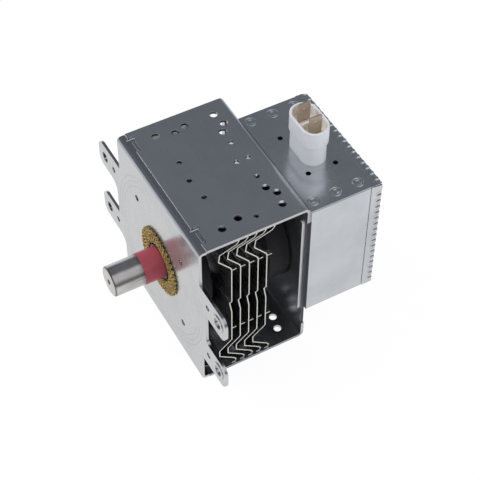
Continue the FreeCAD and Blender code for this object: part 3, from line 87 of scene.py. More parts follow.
class SheetSettings(PropertyGroup):
    """Zinc coated steel and aluminium sheets."""
    zinc: FloatVectorProperty(
        name="Zinc", description="Colour of the zinc coat", subtype="COLOR", size=3,
        min=0, max=1, default=(0.60, 0.625, 0.65))
    zinc_shade: FloatVectorProperty(
        name="Zinc shade", description="Colour of the duller patches", subtype="COLOR", size=3,
        min=0, max=1, default=(0.52, 0.545, 0.575))
    cut_edge: FloatVectorProperty(
        name="Cut edge", description="Colour of the sheared edges", subtype="COLOR", size=3,
        min=0, max=1, default=(0.66, 0.665, 0.68))
    zinc_roughness: FloatProperty(
        name="Zinc roughness", description="Roughness of the zinc coat", subtype="FACTOR",
        min=0.05, max=1, default=0.21)
    fin: FloatVectorProperty(
        name="Fin", description="Colour of the aluminium fins", subtype="COLOR", size=3,
        min=0, max=1, default=(0.62, 0.62, 0.63))


class AntennaSettings(PropertyGroup):
    """Cap and ceramic of the antenna."""
    cap: FloatVectorProperty(
        name="Cap", description="Colour of the polished cap", subtype="COLOR", size=3,
        min=0, max=1, default=(0.60, 0.585, 0.575))
    cap_roughness: FloatProperty(
        name="Cap roughness", description="Roughness of the cap", subtype="FACTOR",
        min=0.02, max=1, default=0.20)
    ceramic: FloatVectorProperty(
        name="Ceramic", description="Colour of the antenna ceramic", subtype="COLOR", size=3,
        min=0, max=1, default=(0.50, 0.082, 0.120))


class GasketSettings(PropertyGroup):
    """Knitted wire ring round the antenna."""
    brass: FloatVectorProperty(
        name="Wire", description="Colour of the brass wire", subtype="COLOR", size=3,
        min=0, max=1, default=(1.0, 0.74, 0.27))
    # Painted shade: colour of the dark body seen between the wires
    core: FloatVectorProperty(
        name="Core", description="Colour between the wires", subtype="COLOR", size=3,
        min=0, max=1, default=(0.020, 0.013, 0.005))
    rows: IntProperty(
        name="Rows", description="Rows of loops round the section", min=8, max=40, default=14)
    stitches: IntProperty(
        name="Stitches", description="Loops of a row round the antenna", min=20, max=90,
        default=36)
    wire_radius: FloatProperty(
        name="Wire radius", description="Radius of one wire", subtype="DISTANCE",
        unit="LENGTH", min=0.00005, max=0.0004, default=0.00018)


class SocketSettings(PropertyGroup):
    """White socket and its blades."""
    plastic: FloatVectorProperty(
        name="Plastic", description="Colour of the socket", subtype="COLOR", size=3,
        min=0, max=1, default=(0.82, 0.84, 0.91))
    blade: FloatVectorProperty(
        name="Blade", description="Colour of the tinned blades", subtype="COLOR", size=3,
        min=0, max=1, default=(0.60, 0.50, 0.42))


class InsideSettings(PropertyGroup):
    """Magnets, vacuum tube and filter."""
    ferrite: FloatVectorProperty(
        name="Ferrite", description="Colour of magnets and choke cores", subtype="COLOR", size=3,
        min=0, max=1, default=(0.014, 0.0135, 0.017))
    copper: FloatVectorProperty(
        name="Copper", description="Colour of the copper pieces", subtype="COLOR", size=3,
        min=0, max=1, default=(0.80, 0.36, 0.20))
    choke_wire: FloatProperty(
        name="Choke wire", description="Radius of the choke wire", subtype="DISTANCE",
        unit="LENGTH", min=0.0002, max=0.001, default=0.0007)
    choke_turns: IntProperty(
        name="Choke turns", description="Turns of a choke", min=3, max=12, default=7)
    filament_wire: FloatProperty(
        name="Filament wire", description="Radius of the filament wire", subtype="DISTANCE",
        unit="LENGTH", min=0.0001, max=0.0005, default=0.0003)
    filament_turns: IntProperty(
        name="Filament turns", description="Turns of the filament", min=3, max=12, default=6)


class StageSettings(PropertyGroup):
    """Camera, lamps, floor and world."""
    camera_place: FloatVectorProperty(
        name="Camera", description="Place of the camera", subtype="TRANSLATION", unit="LENGTH",
        size=3, default=(0.36615, -0.16187, 0.48159))
    camera_turn: FloatVectorProperty(
        name="Camera turn", description="Rotation of the camera", subtype="EULER", size=3,
        default=(0.707110, -0.003150, 1.065535))
    camera_lens: FloatProperty(
        name="Lens", description="Focal length on a 36 mm sensor, in mm", min=20, max=300,
        default=100.855)
    key_power: FloatProperty(
        name="Key lamp", description="Power of the lamp at the left", subtype="POWER",
        unit="POWER", min=0, max=200, default=9)
    fill_power: FloatProperty(
        name="Fill lamp", description="Power of the lamp at the right", subtype="POWER",
        unit="POWER", min=0, max=200, default=5)
    world_level: FloatProperty(
        name="World", description="Strength of the soft light from all sides", min=0, max=2,
        default=0.60)


# Node helpers

def start_finish(name):
    finish = bpy.data.materials.new(name)
    finish.use_nodes = True
    tree = finish.node_tree
    return finish, tree, tree.nodes["Principled BSDF"]


def add_node(tree, kind, **values):
    node = tree.nodes.new(kind)
    for name, value in values.items():
        if isinstance(value, bpy.types.NodeSocket):
            tree.links.new(value, node.inputs[name])
        else:
            node.inputs[name].default_value = value
    return node


def place_on_part(tree, stretch):
    """Object coordinates in metres, multiplied along X, Y and Z."""
    coordinates = tree.nodes.new("ShaderNodeTexCoord")
    mapping = add_node(tree, "ShaderNodeMapping", Vector=coordinates.outputs["Object"])
    mapping.inputs["Scale"].default_value = stretch
    return mapping.outputs["Vector"]


def place_axis(tree, axis):
    split = tree.nodes.new("ShaderNodeSeparateXYZ")
    tree.links.new(place_on_part(tree, (1, 1, 1)), split.inputs["Vector"])
    return split.outputs[axis]


def distance_from(tree, centre, keep):
    """Distance from a point, along the kept axes only."""
    coordinates = tree.nodes.new("ShaderNodeTexCoord")
    off = tree.nodes.new("ShaderNodeVectorMath")
    off.operation = "SUBTRACT"
    tree.links.new(coordinates.outputs["Object"], off.inputs[0])
    off.inputs[1].default_value = centre
    kept = tree.nodes.new("ShaderNodeVectorMath")
    kept.operation = "MULTIPLY"
    tree.links.new(off.outputs["Vector"], kept.inputs[0])
    kept.inputs[1].default_value = keep
    length = tree.nodes.new("ShaderNodeVectorMath")
    length.operation = "LENGTH"
    tree.links.new(kept.outputs["Vector"], length.inputs[0])
    return length.outputs["Value"]


def grain(tree, stretch, detail=3.0, roughness=0.55):
    noise = add_node(tree, "ShaderNodeTexNoise", Vector=place_on_part(tree, stretch),
                     Scale=1.0, Detail=detail, Roughness=roughness)
    return noise.outputs["Fac"]


def span(tree, value, low, high, out_low, out_high):
    mapped = add_node(tree, "ShaderNodeMapRange")
    tree.links.new(value, mapped.inputs["Value"])
    mapped.inputs["From Min"].default_value = low
    mapped.inputs["From Max"].default_value = high
    mapped.inputs["To Min"].default_value = out_low
    mapped.inputs["To Max"].default_value = out_high
    return mapped.outputs["Result"]


def blend_colours(tree, factor, first, second):
    mix = tree.nodes.new("ShaderNodeMix")
    mix.data_type = "RGBA"
    tree.links.new(factor, mix.inputs["Factor"])
    for socket, colour in ((mix.inputs["A"], first), (mix.inputs["B"], second)):
        if isinstance(colour, bpy.types.NodeSocket):
            tree.links.new(colour, socket)
        else:
            socket.default_value = (*colour, 1.0)
    return mix.outputs["Result"]


def combine(tree, operation, first, second):
    node = tree.nodes.new("ShaderNodeMath")
    node.operation = operation
    for socket, value in zip(node.inputs, (first, second)):
        if isinstance(value, bpy.types.NodeSocket):
            tree.links.new(value, socket)
        else:
            socket.default_value = value
    return node.outputs["Value"]


def multiply(tree, first, *others):
    for other in others:
        first = combine(tree, "MULTIPLY", first, other)
    return first


def invert(tree, mask):
    return combine(tree, "SUBTRACT", 1.0, mask)


def limit(tree, mask, top):
    """A mask from 0 to 1, brought down to 0 to top."""
    return span(tree, mask, 0.0, 1.0, 0.0, top)


def mix_shaders(tree, factor, first, second):
    mix = tree.nodes.new("ShaderNodeMixShader")
    tree.links.new(factor, mix.inputs["Fac"])
    tree.links.new(first, mix.inputs[1])
    tree.links.new(second, mix.inputs[2])
    return mix.outputs["Shader"]


def raise_surface(tree, shader, height, strength, depth, edge=0.0):
    """Bump from a height, over edges that the shading rounds if edge is set."""
    bump = add_node(tree, "ShaderNodeBump", Strength=strength, Distance=depth)
    tree.links.new(height, bump.inputs["Height"])
    if edge > 0:
        rounded = tree.nodes.new("ShaderNodeBevel")
        rounded.samples = 4
        rounded.inputs["Radius"].default_value = edge
        tree.links.new(rounded.outputs["Normal"], bump.inputs["Normal"])
    tree.links.new(bump.outputs["Normal"], shader.inputs["Normal"])


def facing(tree, axis, low, high):
    """1 where the surface faces along the axis either way, 0 elsewhere."""
    geometry = tree.nodes.new("ShaderNodeNewGeometry")
    split = tree.nodes.new("ShaderNodeSeparateXYZ")
    tree.links.new(geometry.outputs["True Normal"], split.inputs["Vector"])
    size = combine(tree, "ABSOLUTE", split.outputs[axis], 0.0)
    return span(tree, size, low, high, 0.0, 1.0)


def give_finish(finish, *names):
    for name in names:
        parts[name].material_slots[0].material = finish


# Finishes

def make_zinc(name, settings, streak, gloss=0.0, tone=1.0, extra=None):
    """Electro-galvanised sheet: cloudy zinc, fine rolling streaks and light scuffs."""
    finish, tree, shader = start_finish(name)
    clouds = grain(tree, (55, 55, 55), 4.0)
    streaks = grain(tree, streak, 2.0)
    scuffs = grain(tree, (900, 700, 800), 2.0, 0.7)
    patch = combine(tree, "ADD", span(tree, clouds, 0.35, 0.65, 0.0, 0.7),
                    span(tree, streaks, 0.3, 0.7, 0.0, 0.35))
    colour = blend_colours(tree, patch, tuple(tone * c for c in settings.zinc),
                           tuple(tone * c for c in settings.zinc_shade))
    fleck = span(tree, scuffs, 0.66, 0.76, 0.0, 0.35)
    colour = blend_colours(tree, fleck, colour, tuple(settings.cut_edge))
    rough = combine(tree, "ADD", span(tree, clouds, 0.3, 0.7, -0.03, 0.05),
                    span(tree, streaks, 0.3, 0.7, settings.zinc_roughness - gloss - 0.02,
                         settings.zinc_roughness - gloss + 0.05))
    shader.inputs["Metallic"].default_value = 1.0
    if extra is not None:
        colour, rough, metal = extra(tree, settings, colour, rough)
        tree.links.new(metal, shader.inputs["Metallic"])
    tree.links.new(colour, shader.inputs["Base Color"])
    tree.links.new(rough, shader.inputs["Roughness"])
    height = combine(tree, "ADD", span(tree, streaks, 0.0, 1.0, 0.0, 0.6),
                     span(tree, scuffs, 0.0, 1.0, 0.0, 0.4))
    raise_surface(tree, shader, height, 0.06, 0.00006)
    return finish


def yoke_edges(tree, settings, colour, rough):
    """Sheared edges bright above, painted shade below and on the back panel; painted highlights on
    front edge, bead and rims.
    """
    low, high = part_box("yoke_frame")
    sheet = 0.0015
    bead_flank = 0.0371
    lip_depth = 0.0003
    panel_edge_shade = (0.085, 0.09, 0.105)
    up = place_axis(tree, "Z")
    along = place_axis(tree, "Y")
    off_middle = combine(tree, "ABSOLUTE", place_axis(tree, "X"), 0.0)
    outside = span(tree, off_middle, bead_flank - 0.00005, bead_flank + 0.00005, 0.0, 1.0)
    inside = invert(tree, outside)
    cut = multiply(tree, facing(tree, "X", 0.93, 0.98), outside)
    # Painted shade: sheared edges darker towards the bottom leg and dark on the back panel
    lower = span(tree, up, low.z + sheet, low.z + sheet + 0.002, 1.0, 0.0)
    panel = span(tree, along, high.y - 2 * sheet, high.y - 0.8 * sheet, 0.0, 1.0)
    narrower = span(tree, off_middle, high.x - 0.0003, high.x - 0.0002, 1.0, 0.0)
    tint = blend_colours(tree, lower, tuple(settings.cut_edge),
                         tuple(0.62 * c for c in settings.cut_edge))
    tint = blend_colours(tree, multiply(tree, panel, narrower), tint, panel_edge_shade)
    colour = blend_colours(tree, cut, colour, tint)

    # Painted highlight: pale front edge of the legs
    front = span(tree, along, low.y + 0.0004, low.y + 0.0008, 1.0, 0.0)
    front = multiply(tree, front, facing(tree, "Y", 0.90, 0.97))
    colour = blend_colours(tree, front, colour, (0.95, 0.95, 0.97))

    # Painted highlight on the flanks of the pressed bead
    slope = invert(tree, facing(tree, "Y", 0.93, 0.98))
    level = combine(tree, "ABSOLUTE", up, 0.0)
    middle = span(tree, level, high.z - 0.007, high.z - 0.005, 1.0, 0.0)
    near_panel = span(tree, along, high.y - 0.0050, high.y - 0.0040, 0.0, 1.0)
    bead = multiply(tree, slope, middle, near_panel, inside)
    colour = blend_colours(tree, bead, colour, (0.98, 0.98, 1.0))

    # Painted highlight on the top of the walls of the upper leg's holes
    lip = span(tree, up, high.z - lip_depth - 0.0001, high.z - lip_depth, 0.0, 1.0)
    before_bend = invert(tree, near_panel)
    behind_front = span(tree, along, low.y + 0.0008, low.y + 0.0012, 0.0, 1.0)
    wall = multiply(tree, inside, invert(tree, facing(tree, "Z", 0.20, 0.30)), lip,
                    before_bend, behind_front)
    colour = blend_colours(tree, wall, colour, (0.80, 0.81, 0.83))

    rough = combine(tree, "ADD", rough, limit(tree, cut, 0.22))
    matt = combine(tree, "MAXIMUM", limit(tree, cut, 0.35),
                   combine(tree, "MAXIMUM", front, limit(tree, bead, 0.4)))
    matt = combine(tree, "MAXIMUM", matt, limit(tree, wall, 0.5))
    return colour, rough, invert(tree, matt)


def plate_marks(tree, settings, colour, rough):
    """Painted shade on faces facing up or down, matt sheared edges and the press's rings round the
    antenna.
    """
    first_ring = 0.0372
    ring_step = 0.0025
    last_ring = first_ring + 2 * ring_step
    shadow = tuple(0.64 * c for c in settings.zinc)
    # Painted shade: faces that face up or down are darker
    colour = blend_colours(tree, facing(tree, "Z", 0.93, 0.98), colour, shadow)
    cut = facing(tree, "X", 0.93, 0.98)
    colour = blend_colours(tree, cut, colour, tuple(settings.cut_edge))
    rough = combine(tree, "ADD", rough, limit(tree, cut, 0.22))
    face = facing(tree, "Y", 0.90, 0.98)
    colour = blend_colours(tree, limit(tree, face, 0.6), colour, (0.56, 0.557, 0.55))

    # A sine of the distance from the antenna's axis peaks on each ring
    away = distance_from(tree, (0, 0, 0), (1, 0, 1))
    from_ring = combine(tree, "SUBTRACT", away, first_ring - ring_step / 4)
    wave = combine(tree, "SINE", combine(tree, "MULTIPLY", from_ring, 2 * math.pi / ring_step),
                   0.0)
    start = span(tree, away, first_ring - 0.0017, first_ring - 0.0010, 0.0, 1.0)
    stop = span(tree, away, last_ring + 0.0005, last_ring + 0.0011, 1.0, 0.0)
    ring = multiply(tree, span(tree, wave, 0.55, 1.0, 0.0, 1.0), start, stop, face)
    colour = blend_colours(tree, limit(tree, ring, 0.75), colour, (0.42, 0.425, 0.44))

    matt = combine(tree, "MAXIMUM", limit(tree, face, 0.28), limit(tree, cut, 0.35))
    matt = combine(tree, "MAXIMUM", matt, limit(tree, ring, 0.65))
    return colour, rough, invert(tree, matt)


def make_metal(name, colour, shade, roughness, stretch, bump=0.2, edge=0.0, metal=1.0,
               cloud=160):
    """Bare metal with cloudy tarnish and a fine worked surface."""
    finish, tree, shader = start_finish(name)
    clouds = grain(tree, (cloud, cloud, cloud), 4.0)
    marks = grain(tree, stretch, 3.0)
    tone = span(tree, clouds, 0.35, 0.68, 0.0, 1.0)
    tree.links.new(blend_colours(tree, tone, colour, shade), shader.inputs["Base Color"])
    rough = combine(tree, "ADD", span(tree, marks, 0.3, 0.7, -0.05, 0.06),
                    span(tree, clouds, 0.3, 0.7, roughness, roughness + 0.08))
    tree.links.new(rough, shader.inputs["Roughness"])
    shader.inputs["Metallic"].default_value = metal
    raise_surface(tree, shader, marks, bump, 0.00005, edge)
    return finish


def make_anode(colour):
    """Copper inside, with a dull plated skin on the shell's outside."""
    finish, tree, shader = start_finish("anode_shell")
    clouds = grain(tree, (200, 200, 200), 4.0)
    marks = grain(tree, (200, 1200, 200), 3.0)
    shade = tuple(0.62 * c for c in colour)
    bare = blend_colours(tree, span(tree, clouds, 0.35, 0.68, 0.0, 1.0), colour, shade)
    plated = blend_colours(tree, span(tree, clouds, 0.35, 0.68, 0.0, 1.0), (0.44, 0.44, 0.45),
                           (0.33, 0.33, 0.34))
    radius = tree.nodes.new("ShaderNodeVectorMath")
    radius.operation = "LENGTH"
    tree.links.new(place_on_part(tree, (1, 0, 1)), radius.inputs[0])
    skin = span(tree, radius.outputs["Value"], 0.0174, 0.0175, 0.0, 1.0)
    tree.links.new(blend_colours(tree, skin, bare, plated), shader.inputs["Base Color"])
    tree.links.new(span(tree, marks, 0.3, 0.7, 0.26, 0.38), shader.inputs["Roughness"])
    shader.inputs["Metallic"].default_value = 1.0
    raise_surface(tree, shader, marks, 0.2, 0.00005)
    return finish


def make_fin_aluminium(settings):
    """Rolled aluminium with bright sheared edges."""
    finish, tree, shader = start_finish("fin_sheet")
    clouds = grain(tree, (120, 120, 120), 4.0)
    rolling = grain(tree, (60, 900, 1600), 2.0)
    cut = facing(tree, "X", 0.85, 0.97)
    dull = tuple(0.72 * c for c in settings.fin)
    colour = blend_colours(tree, span(tree, clouds, 0.35, 0.65, 0.0, 1.0), tuple(settings.fin), dull)
    colour = blend_colours(tree, cut, colour, (0.84, 0.83, 0.80))
    rough = combine(tree, "ADD", span(tree, rolling, 0.3, 0.7, 0.24, 0.34),
                    limit(tree, cut, 0.25))
    tree.links.new(colour, shader.inputs["Base Color"])
    tree.links.new(rough, shader.inputs["Roughness"])
    shader.inputs["Metallic"].default_value = 1.0
    raise_surface(tree, shader, rolling, 0.15, 0.00005)
    return finish


def make_cap_steel(settings):
    """Drawn and polished steel with turned rings on its end, and painted shade at the rim and by the
    ceramic.
    """
    finish, tree, shader = start_finish("cap_polish")
    turned = add_node(tree, "ShaderNodeTexWave", Vector=place_on_part(tree, (1, 0, 1)),
                      Scale=900.0, Distortion=1.5, Detail=2.0)
    turned.wave_type = "RINGS"
    turned.rings_direction = "Y"
    drawn = grain(tree, (500, 60, 500), 3.0)
    clouds = grain(tree, (150, 150, 150), 3.0)
    shade = tuple(0.80 * c for c in settings.cap)
    colour = blend_colours(tree, span(tree, clouds, 0.35, 0.65, 0.0, 1.0), tuple(settings.cap),
                           shade)
    low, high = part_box("antenna_cap")
    along = place_axis(tree, "Y")
    side = invert(tree, facing(tree, "Y", 0.90, 0.96))
    # Painted shade at the end's rim and next to the ceramic
    rim = multiply(tree, side, span(tree, along, low.y + 0.0003, low.y + 0.0009, 1.0, 0.0))
    back = span(tree, along, high.y - 0.0022, high.y - 0.0002, 0.0, 0.6)
    dark = combine(tree, "MAXIMUM", rim, back)
    colour = blend_colours(tree, dark, colour, (0.16, 0.15, 0.14))
    tree.links.new(colour, shader.inputs["Base Color"])
    tree.links.new(span(tree, drawn, 0.3, 0.7, settings.cap_roughness - 0.05,
                        settings.cap_roughness + 0.07), shader.inputs["Roughness"])
    shader.inputs["Metallic"].default_value = 1.0
    height = combine(tree, "ADD", span(tree, turned.outputs["Fac"], 0.0, 1.0, 0.0, 0.3),
                     span(tree, drawn, 0.0, 1.0, 0.0, 0.7))
    raise_surface(tree, shader, height, 0.10, 0.00004, 0.0002)
    return finish


def make_stone(name, colour, shade, roughness, edge=0.0002, scale=900, bump=0.35, coat=0.0,
               shine=0.5):
    """Fired ceramic or ferrite: mottled, with fine pits."""
    finish, tree, shader = start_finish(name)
    clouds = grain(tree, (140, 140, 140), 4.0)
    pits = grain(tree, (scale, scale, scale), 4.0, 0.65)
    tone = span(tree, clouds, 0.34, 0.68, 0.0, 1.0)
    colour = blend_colours(tree, tone, colour, shade)
    pale = tuple(min(1.0, 1.5 * c + 0.02) for c in shade)
    colour = blend_colours(tree, span(tree, pits, 0.62, 0.78, 0.0, 0.5), colour, pale)
    tree.links.new(colour, shader.inputs["Base Color"])
    tree.links.new(span(tree, pits, 0.3, 0.7, roughness - 0.05, roughness + 0.1),
                   shader.inputs["Roughness"])
    shader.inputs["Specular IOR Level"].default_value = shine
    shader.inputs["Coat Weight"].default_value = coat
    shader.inputs["Coat Roughness"].default_value = 0.3
    raise_surface(tree, shader, pits, bump, 0.00008, edge)
    return finish


def recess_mask(tree):
    """1 on the faces inside the socket's recess, below its rim and above the blades' roots."""
    low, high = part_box("connector_housing")
    size = high - low
    middle = (low + high) / 2
    wall = 0.00115
    long_axis, cross_axis = ("X", "Y") if size.x > size.y else ("Y", "X")
    reach = min(size.x, size.y) / 2
    run = max(size.x, size.y) / 2 - reach
    offsets = []
    for axis in (long_axis, cross_axis):
        offsets.append(combine(tree, "SUBTRACT", place_axis(tree, axis),
                               getattr(middle, axis.lower())))
    first, second = offsets
    first = combine(tree, "SUBTRACT", combine(tree, "ABSOLUTE", first, 0.0), run)
    first = combine(tree, "MAXIMUM", first, 0.0)
    squares = combine(tree, "ADD", combine(tree, "MULTIPLY", first, first),
                      combine(tree, "MULTIPLY", second, second))
    away = combine(tree, "SQRT", squares, 0.0)
    up = place_axis(tree, "Z")
    within = span(tree, away, reach - wall, reach - wall + 0.0001, 1.0, 0.0)
    below_rim = span(tree, up, high.z - 0.0004, high.z - 0.0001, 1.0, 0.0)
    above_root = span(tree, up, high.z - 0.0062, high.z - 0.0058, 0.0, 1.0)
    return multiply(tree, within, below_rim, above_root)


def make_plastic(name, colour, roughness, recess=None):
    """Moulded plastic with a soft grain, and in the socket's recess a painted warm shade colour of
    its own.
    """
    finish, tree, shader = start_finish(name)
    clouds = grain(tree, (90, 90, 90), 3.0)
    skin = grain(tree, (1400, 1400, 1400), 2.0)
    shade = tuple(c * f for c, f in zip(colour, (0.955, 0.95, 0.93)))
    tone = blend_colours(tree, span(tree, clouds, 0.35, 0.65, 0.0, 1.0), colour, shade)
    if recess is not None:
        # Painted shade: the shaded recess gets a warm cream colour of its own
        tone = blend_colours(tree, recess_mask(tree), tone, recess)
    tree.links.new(tone, shader.inputs["Base Color"])
    tree.links.new(span(tree, skin, 0.3, 0.7, roughness - 0.04, roughness + 0.08),
                   shader.inputs["Roughness"])
    shader.inputs["IOR"].default_value = 1.49
    shader.inputs["Subsurface Weight"].default_value = 0.12
    shader.inputs["Subsurface Radius"].default_value = (0.002, 0.0017, 0.0014)
    shader.inputs["Subsurface Scale"].default_value = 1.0
    raise_surface(tree, shader, skin, 0.12, 0.00004, 0.0003)
    return finish


# Mesh helpers

def make_piece(name, points, faces, finish, replaced=()):
    mesh = bpy.data.meshes.new(name)
    mesh.from_pydata([tuple(p) for p in points], [], faces)
    mesh.materials.append(finish)
    mesh.polygons.foreach_set("use_smooth", [True] * len(mesh.polygons))
    mesh.update()
    piece = bpy.data.objects.new(name, mesh)
    bpy.context.scene.collection.objects.link(piece)
    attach(piece, "root")
    if replaced:
        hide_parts(*replaced)
    return piece


def join_rings(rings, sides, closed):
    """Faces between neighbouring rings of points, and from the last to the first if closed."""
    faces = []
    for i in range(rings if closed else rings - 1):
        j = (i + 1) % rings
        for k in range(sides):
            m = (k + 1) % sides
            faces.append((i * sides + k, i * sides + m, j * sides + m, j * sides + k))
    return faces


def sweep_wire(path, outward, radius, sides, closed):
    """Points and faces of a wire along a path, with outward to lay its section out from."""
    path = np.asarray(path)
    count = len(path)
    if closed:
        ahead = np.roll(path, -1, axis=0) - np.roll(path, 1, axis=0)
    else:
        ahead = np.gradient(path, axis=0)
    ahead /= np.linalg.norm(ahead, axis=1)[:, None]
    side = np.cross(ahead, outward)
    side /= np.linalg.norm(side, axis=1)[:, None]
    up = np.cross(side, ahead)
    turn = 2 * np.pi * (np.arange(sides) + 0.5) / sides
    ring = (side[:, None, :] * np.cos(turn)[None, :, None]
            + up[:, None, :] * np.sin(turn)[None, :, None])
    points = (path[:, None, :] + radius * ring).reshape(-1, 3)
    faces = join_rings(count, sides, closed)
    if not closed:
        faces.append(tuple(range(sides))[::-1])
        faces.append(tuple((count - 1) * sides + k for k in range(sides)))
    return points, faces


def wind_coil(name, node, axis, wire, turns, finish):
    """Round wire wound evenly inside the box of its plain solid."""
    low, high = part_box(node)
    centre = (low + high) / 2
    first, second = [i for i in range(3) if i != axis]
    radius = (high[first] - low[first]) / 2 - wire
    length = high[axis] - low[axis] - 2 * wire
    steps = COIL_STEPS * turns
    angle = np.pi + 2 * np.pi * turns * np.linspace(0, 1, steps + 1)
    path = np.zeros((steps + 1, 3))
    path[:, first] = centre[first] + radius * np.cos(angle)
    path[:, second] = centre[second] + radius * np.sin(angle)
    path[:, axis] = low[axis] + wire + length * np.linspace(0, 1, steps + 1)
    outward = np.zeros_like(path)
    outward[:, first] = np.cos(angle)
    outward[:, second] = np.sin(angle)
    points, faces = sweep_wire(path, outward, wire, COIL_SIDES, False)
    return make_piece(name, points, faces, finish, [node])


# Gasket

def section_of_gasket(turn, half_wide, half_thick):
    """A flattened ring section: offsets outward and forward, and the outward normal."""
    c, s = np.cos(turn), np.sin(turn)
    across = half_wide * np.sign(c) * np.abs(c) ** SECTION_POWER
    forward = half_thick * np.sign(s) * np.abs(s) ** SECTION_POWER
    normal_across = np.sign(c) * np.abs(c) ** (2 - SECTION_POWER) / half_wide
    normal_forward = np.sign(s) * np.abs(s) ** (2 - SECTION_POWER) / half_thick
    size = np.hypot(normal_across, normal_forward)
    return across, forward, normal_across / size, normal_forward / size


def waver(chance, around, size, waves):
    """Seeded unevenness round the ring, as a sum of waves."""
    return sum(chance.uniform(-size, size) * np.sin(k * around + chance.uniform(0, LAP))
               for k in waves)


def knit_gasket(settings, wire_finish, shade_core_finish):
    """Rows of interlocked loops laid over the flattened ring, pressed a little out of order."""
    low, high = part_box("rf_gasket")
    outer = (high.x - low.x) / 2
    middle = (outer + GASKET_BORE) / 2
    centre_y = (low.y + high.y) / 2
    radius = settings.wire_radius
    lift = radius * 0.95
    margin = radius * 2.1
    wide = (outer - GASKET_BORE) / 2 - margin
    thick = (high.y - low.y) / 2 - margin
    chance = np.random.default_rng(7)
    turn_fine = np.linspace(0, 2 * np.pi, 721)
    across, forward, _, _ = section_of_gasket(turn_fine, wide, thick)
    run = np.concatenate([[0], np.cumsum(np.hypot(np.diff(across), np.diff(forward)))])
    pitch = run[-1] / settings.rows
    steps = settings.stitches * STITCH_STEPS
    around = 2 * np.pi * np.arange(steps) / steps
    points = []
    faces = []
    for row in range(settings.rows):
        phase = chance.uniform(0, 2 * np.pi)
        stitch = settings.stitches * around + phase
        drift = waver(chance, around, 0.22, (3, 7, 12, 19, 31))
        tall = 1.0 + waver(chance, around, 0.15, (5, 11, 23))
        place = (row + 0.5 + drift + 0.75 * tall * np.cos(stitch)) * pitch
        section = np.interp(place % run[-1], run, turn_fine)
        a, f, push_a, push_f = section_of_gasket(section, wide, thick)
        rise = lift * np.cos(2 * stitch)
        r = middle + a + push_a * rise
        y = centre_y - f - push_f * rise
        along = around + 0.55 * np.sin(2 * stitch) / settings.stitches
        path = np.stack([r * np.cos(along), y, r * np.sin(along)], axis=1)
        outward = np.stack([push_a * np.cos(along), -push_f, push_a * np.sin(along)], axis=1)
        wire_points, wire_faces = sweep_wire(path, outward, radius, WIRE_SIDES, True)
        offset = sum(len(p) for p in points)
        points.append(wire_points)
        faces.extend(tuple(i + offset for i in face) for face in wire_faces)
    make_piece("gasket_wires", np.concatenate(points), faces, wire_finish,
               ["rf_gasket"])
    # A dark body inside the loops, painted shade that shows between the wires
    section = 2 * np.pi * np.arange(CORE_SIDES) / CORE_SIDES
    across, forward, _, _ = section_of_gasket(section, wide - lift, thick - lift)
    core = []
    for i in range(CORE_STEPS):
        angle = 2 * np.pi * i / CORE_STEPS
        for a, f in zip(across, forward):
            r = middle + a
            core.append((r * math.cos(angle), centre_y - f, r * math.sin(angle)))
    make_piece("gasket_shade_core", core, join_rings(CORE_STEPS, CORE_SIDES, True), shade_core_finish)


# Operators

class MAGNETRON_OT_sheets(Operator):
    """Finishes the yoke, the mounting plate and the filter box as zinc coated sheet"""
    bl_idname = "magnetron.sheets"
    bl_label = "Zinc sheets"

    def execute(self, context):
        settings = context.scene.magnetron_sheets
        give_finish(make_zinc("yoke_zinc", settings, (60, 900, 60), -0.09, 1.0, yoke_edges),
                    "yoke_frame")
        give_finish(make_zinc("plate_zinc", settings, (700, 60, 50), 0.03, 0.93, plate_marks),
                    "mounting_plate")
        give_finish(make_zinc("box_zinc", settings, (700, 60, 50), 0.0, 1.05),
                    "filter_box", "filter_box_lid")
        give_finish(make_zinc("inner_zinc", settings, (60, 700, 60)), "capacitor_base_plate")
        return {"FINISHED"}


class MAGNETRON_OT_fins(Operator):
    """Finishes the five cooling fins as rolled aluminium"""
    bl_idname = "magnetron.fins"
    bl_label = "Cooling fins"

    def execute(self, context):
        finish = make_fin_aluminium(context.scene.magnetron_sheets)
        give_finish(finish, *[f"cooling_fin_{i}" for i in range(1, 6)])
        return {"FINISHED"}


class MAGNETRON_OT_magnets(Operator):
    """Finishes the two ring magnets and the choke cores as ferrite"""
    bl_idname = "magnetron.magnets"
    bl_label = "Ferrite"

    def execute(self, context):
        colour = tuple(context.scene.magnetron_inside.ferrite)
        shade = tuple(0.6 * c for c in colour)
        finish = make_stone("ferrite_grain", colour, shade, 0.55, 0.0004, 700, 0.3, shine=0.25)
        give_finish(finish, "front_magnet", "rear_magnet", "choke_core_1", "choke_core_2")
        return {"FINISHED"}


class MAGNETRON_OT_antenna(Operator):
    """Finishes the cap and the ceramic of the antenna"""
    bl_idname = "magnetron.antenna"
    bl_label = "Antenna"

    def execute(self, context):
        settings = context.scene.magnetron_antenna
        give_finish(make_cap_steel(settings), "antenna_cap")
        colour = tuple(settings.ceramic)
        shade = tuple(0.85 * c for c in colour)
        give_finish(make_stone("antenna_alumina", colour, shade, 0.42, 0.0002, 1200, 0.15, 0.1),
                    "antenna_ceramic")
        return {"FINISHED"}


class MAGNETRON_OT_gasket(Operator):
    """Knits the brass wire gasket round the antenna"""
    bl_idname = "magnetron.gasket"
    bl_label = "Knitted gasket"

    def execute(self, context):
        settings = context.scene.magnetron_gasket
        colour = tuple(settings.brass)
        shade = (0.26 * colour[0], 0.21 * colour[1], 0.15 * colour[2])
        wire = make_metal("gasket_wire", colour, shade, 0.26, (600, 600, 600), metal=0.75,
                          cloud=800)
        # Painted shade: a near black finish for the body between the wires
        core = make_metal("gasket_painted_shade", tuple(settings.core), (0.012, 0.008, 0.004), 0.6,
                          (900, 900, 900), metal=0.3)
        knit_gasket(settings, wire, core)
        return {"FINISHED"}


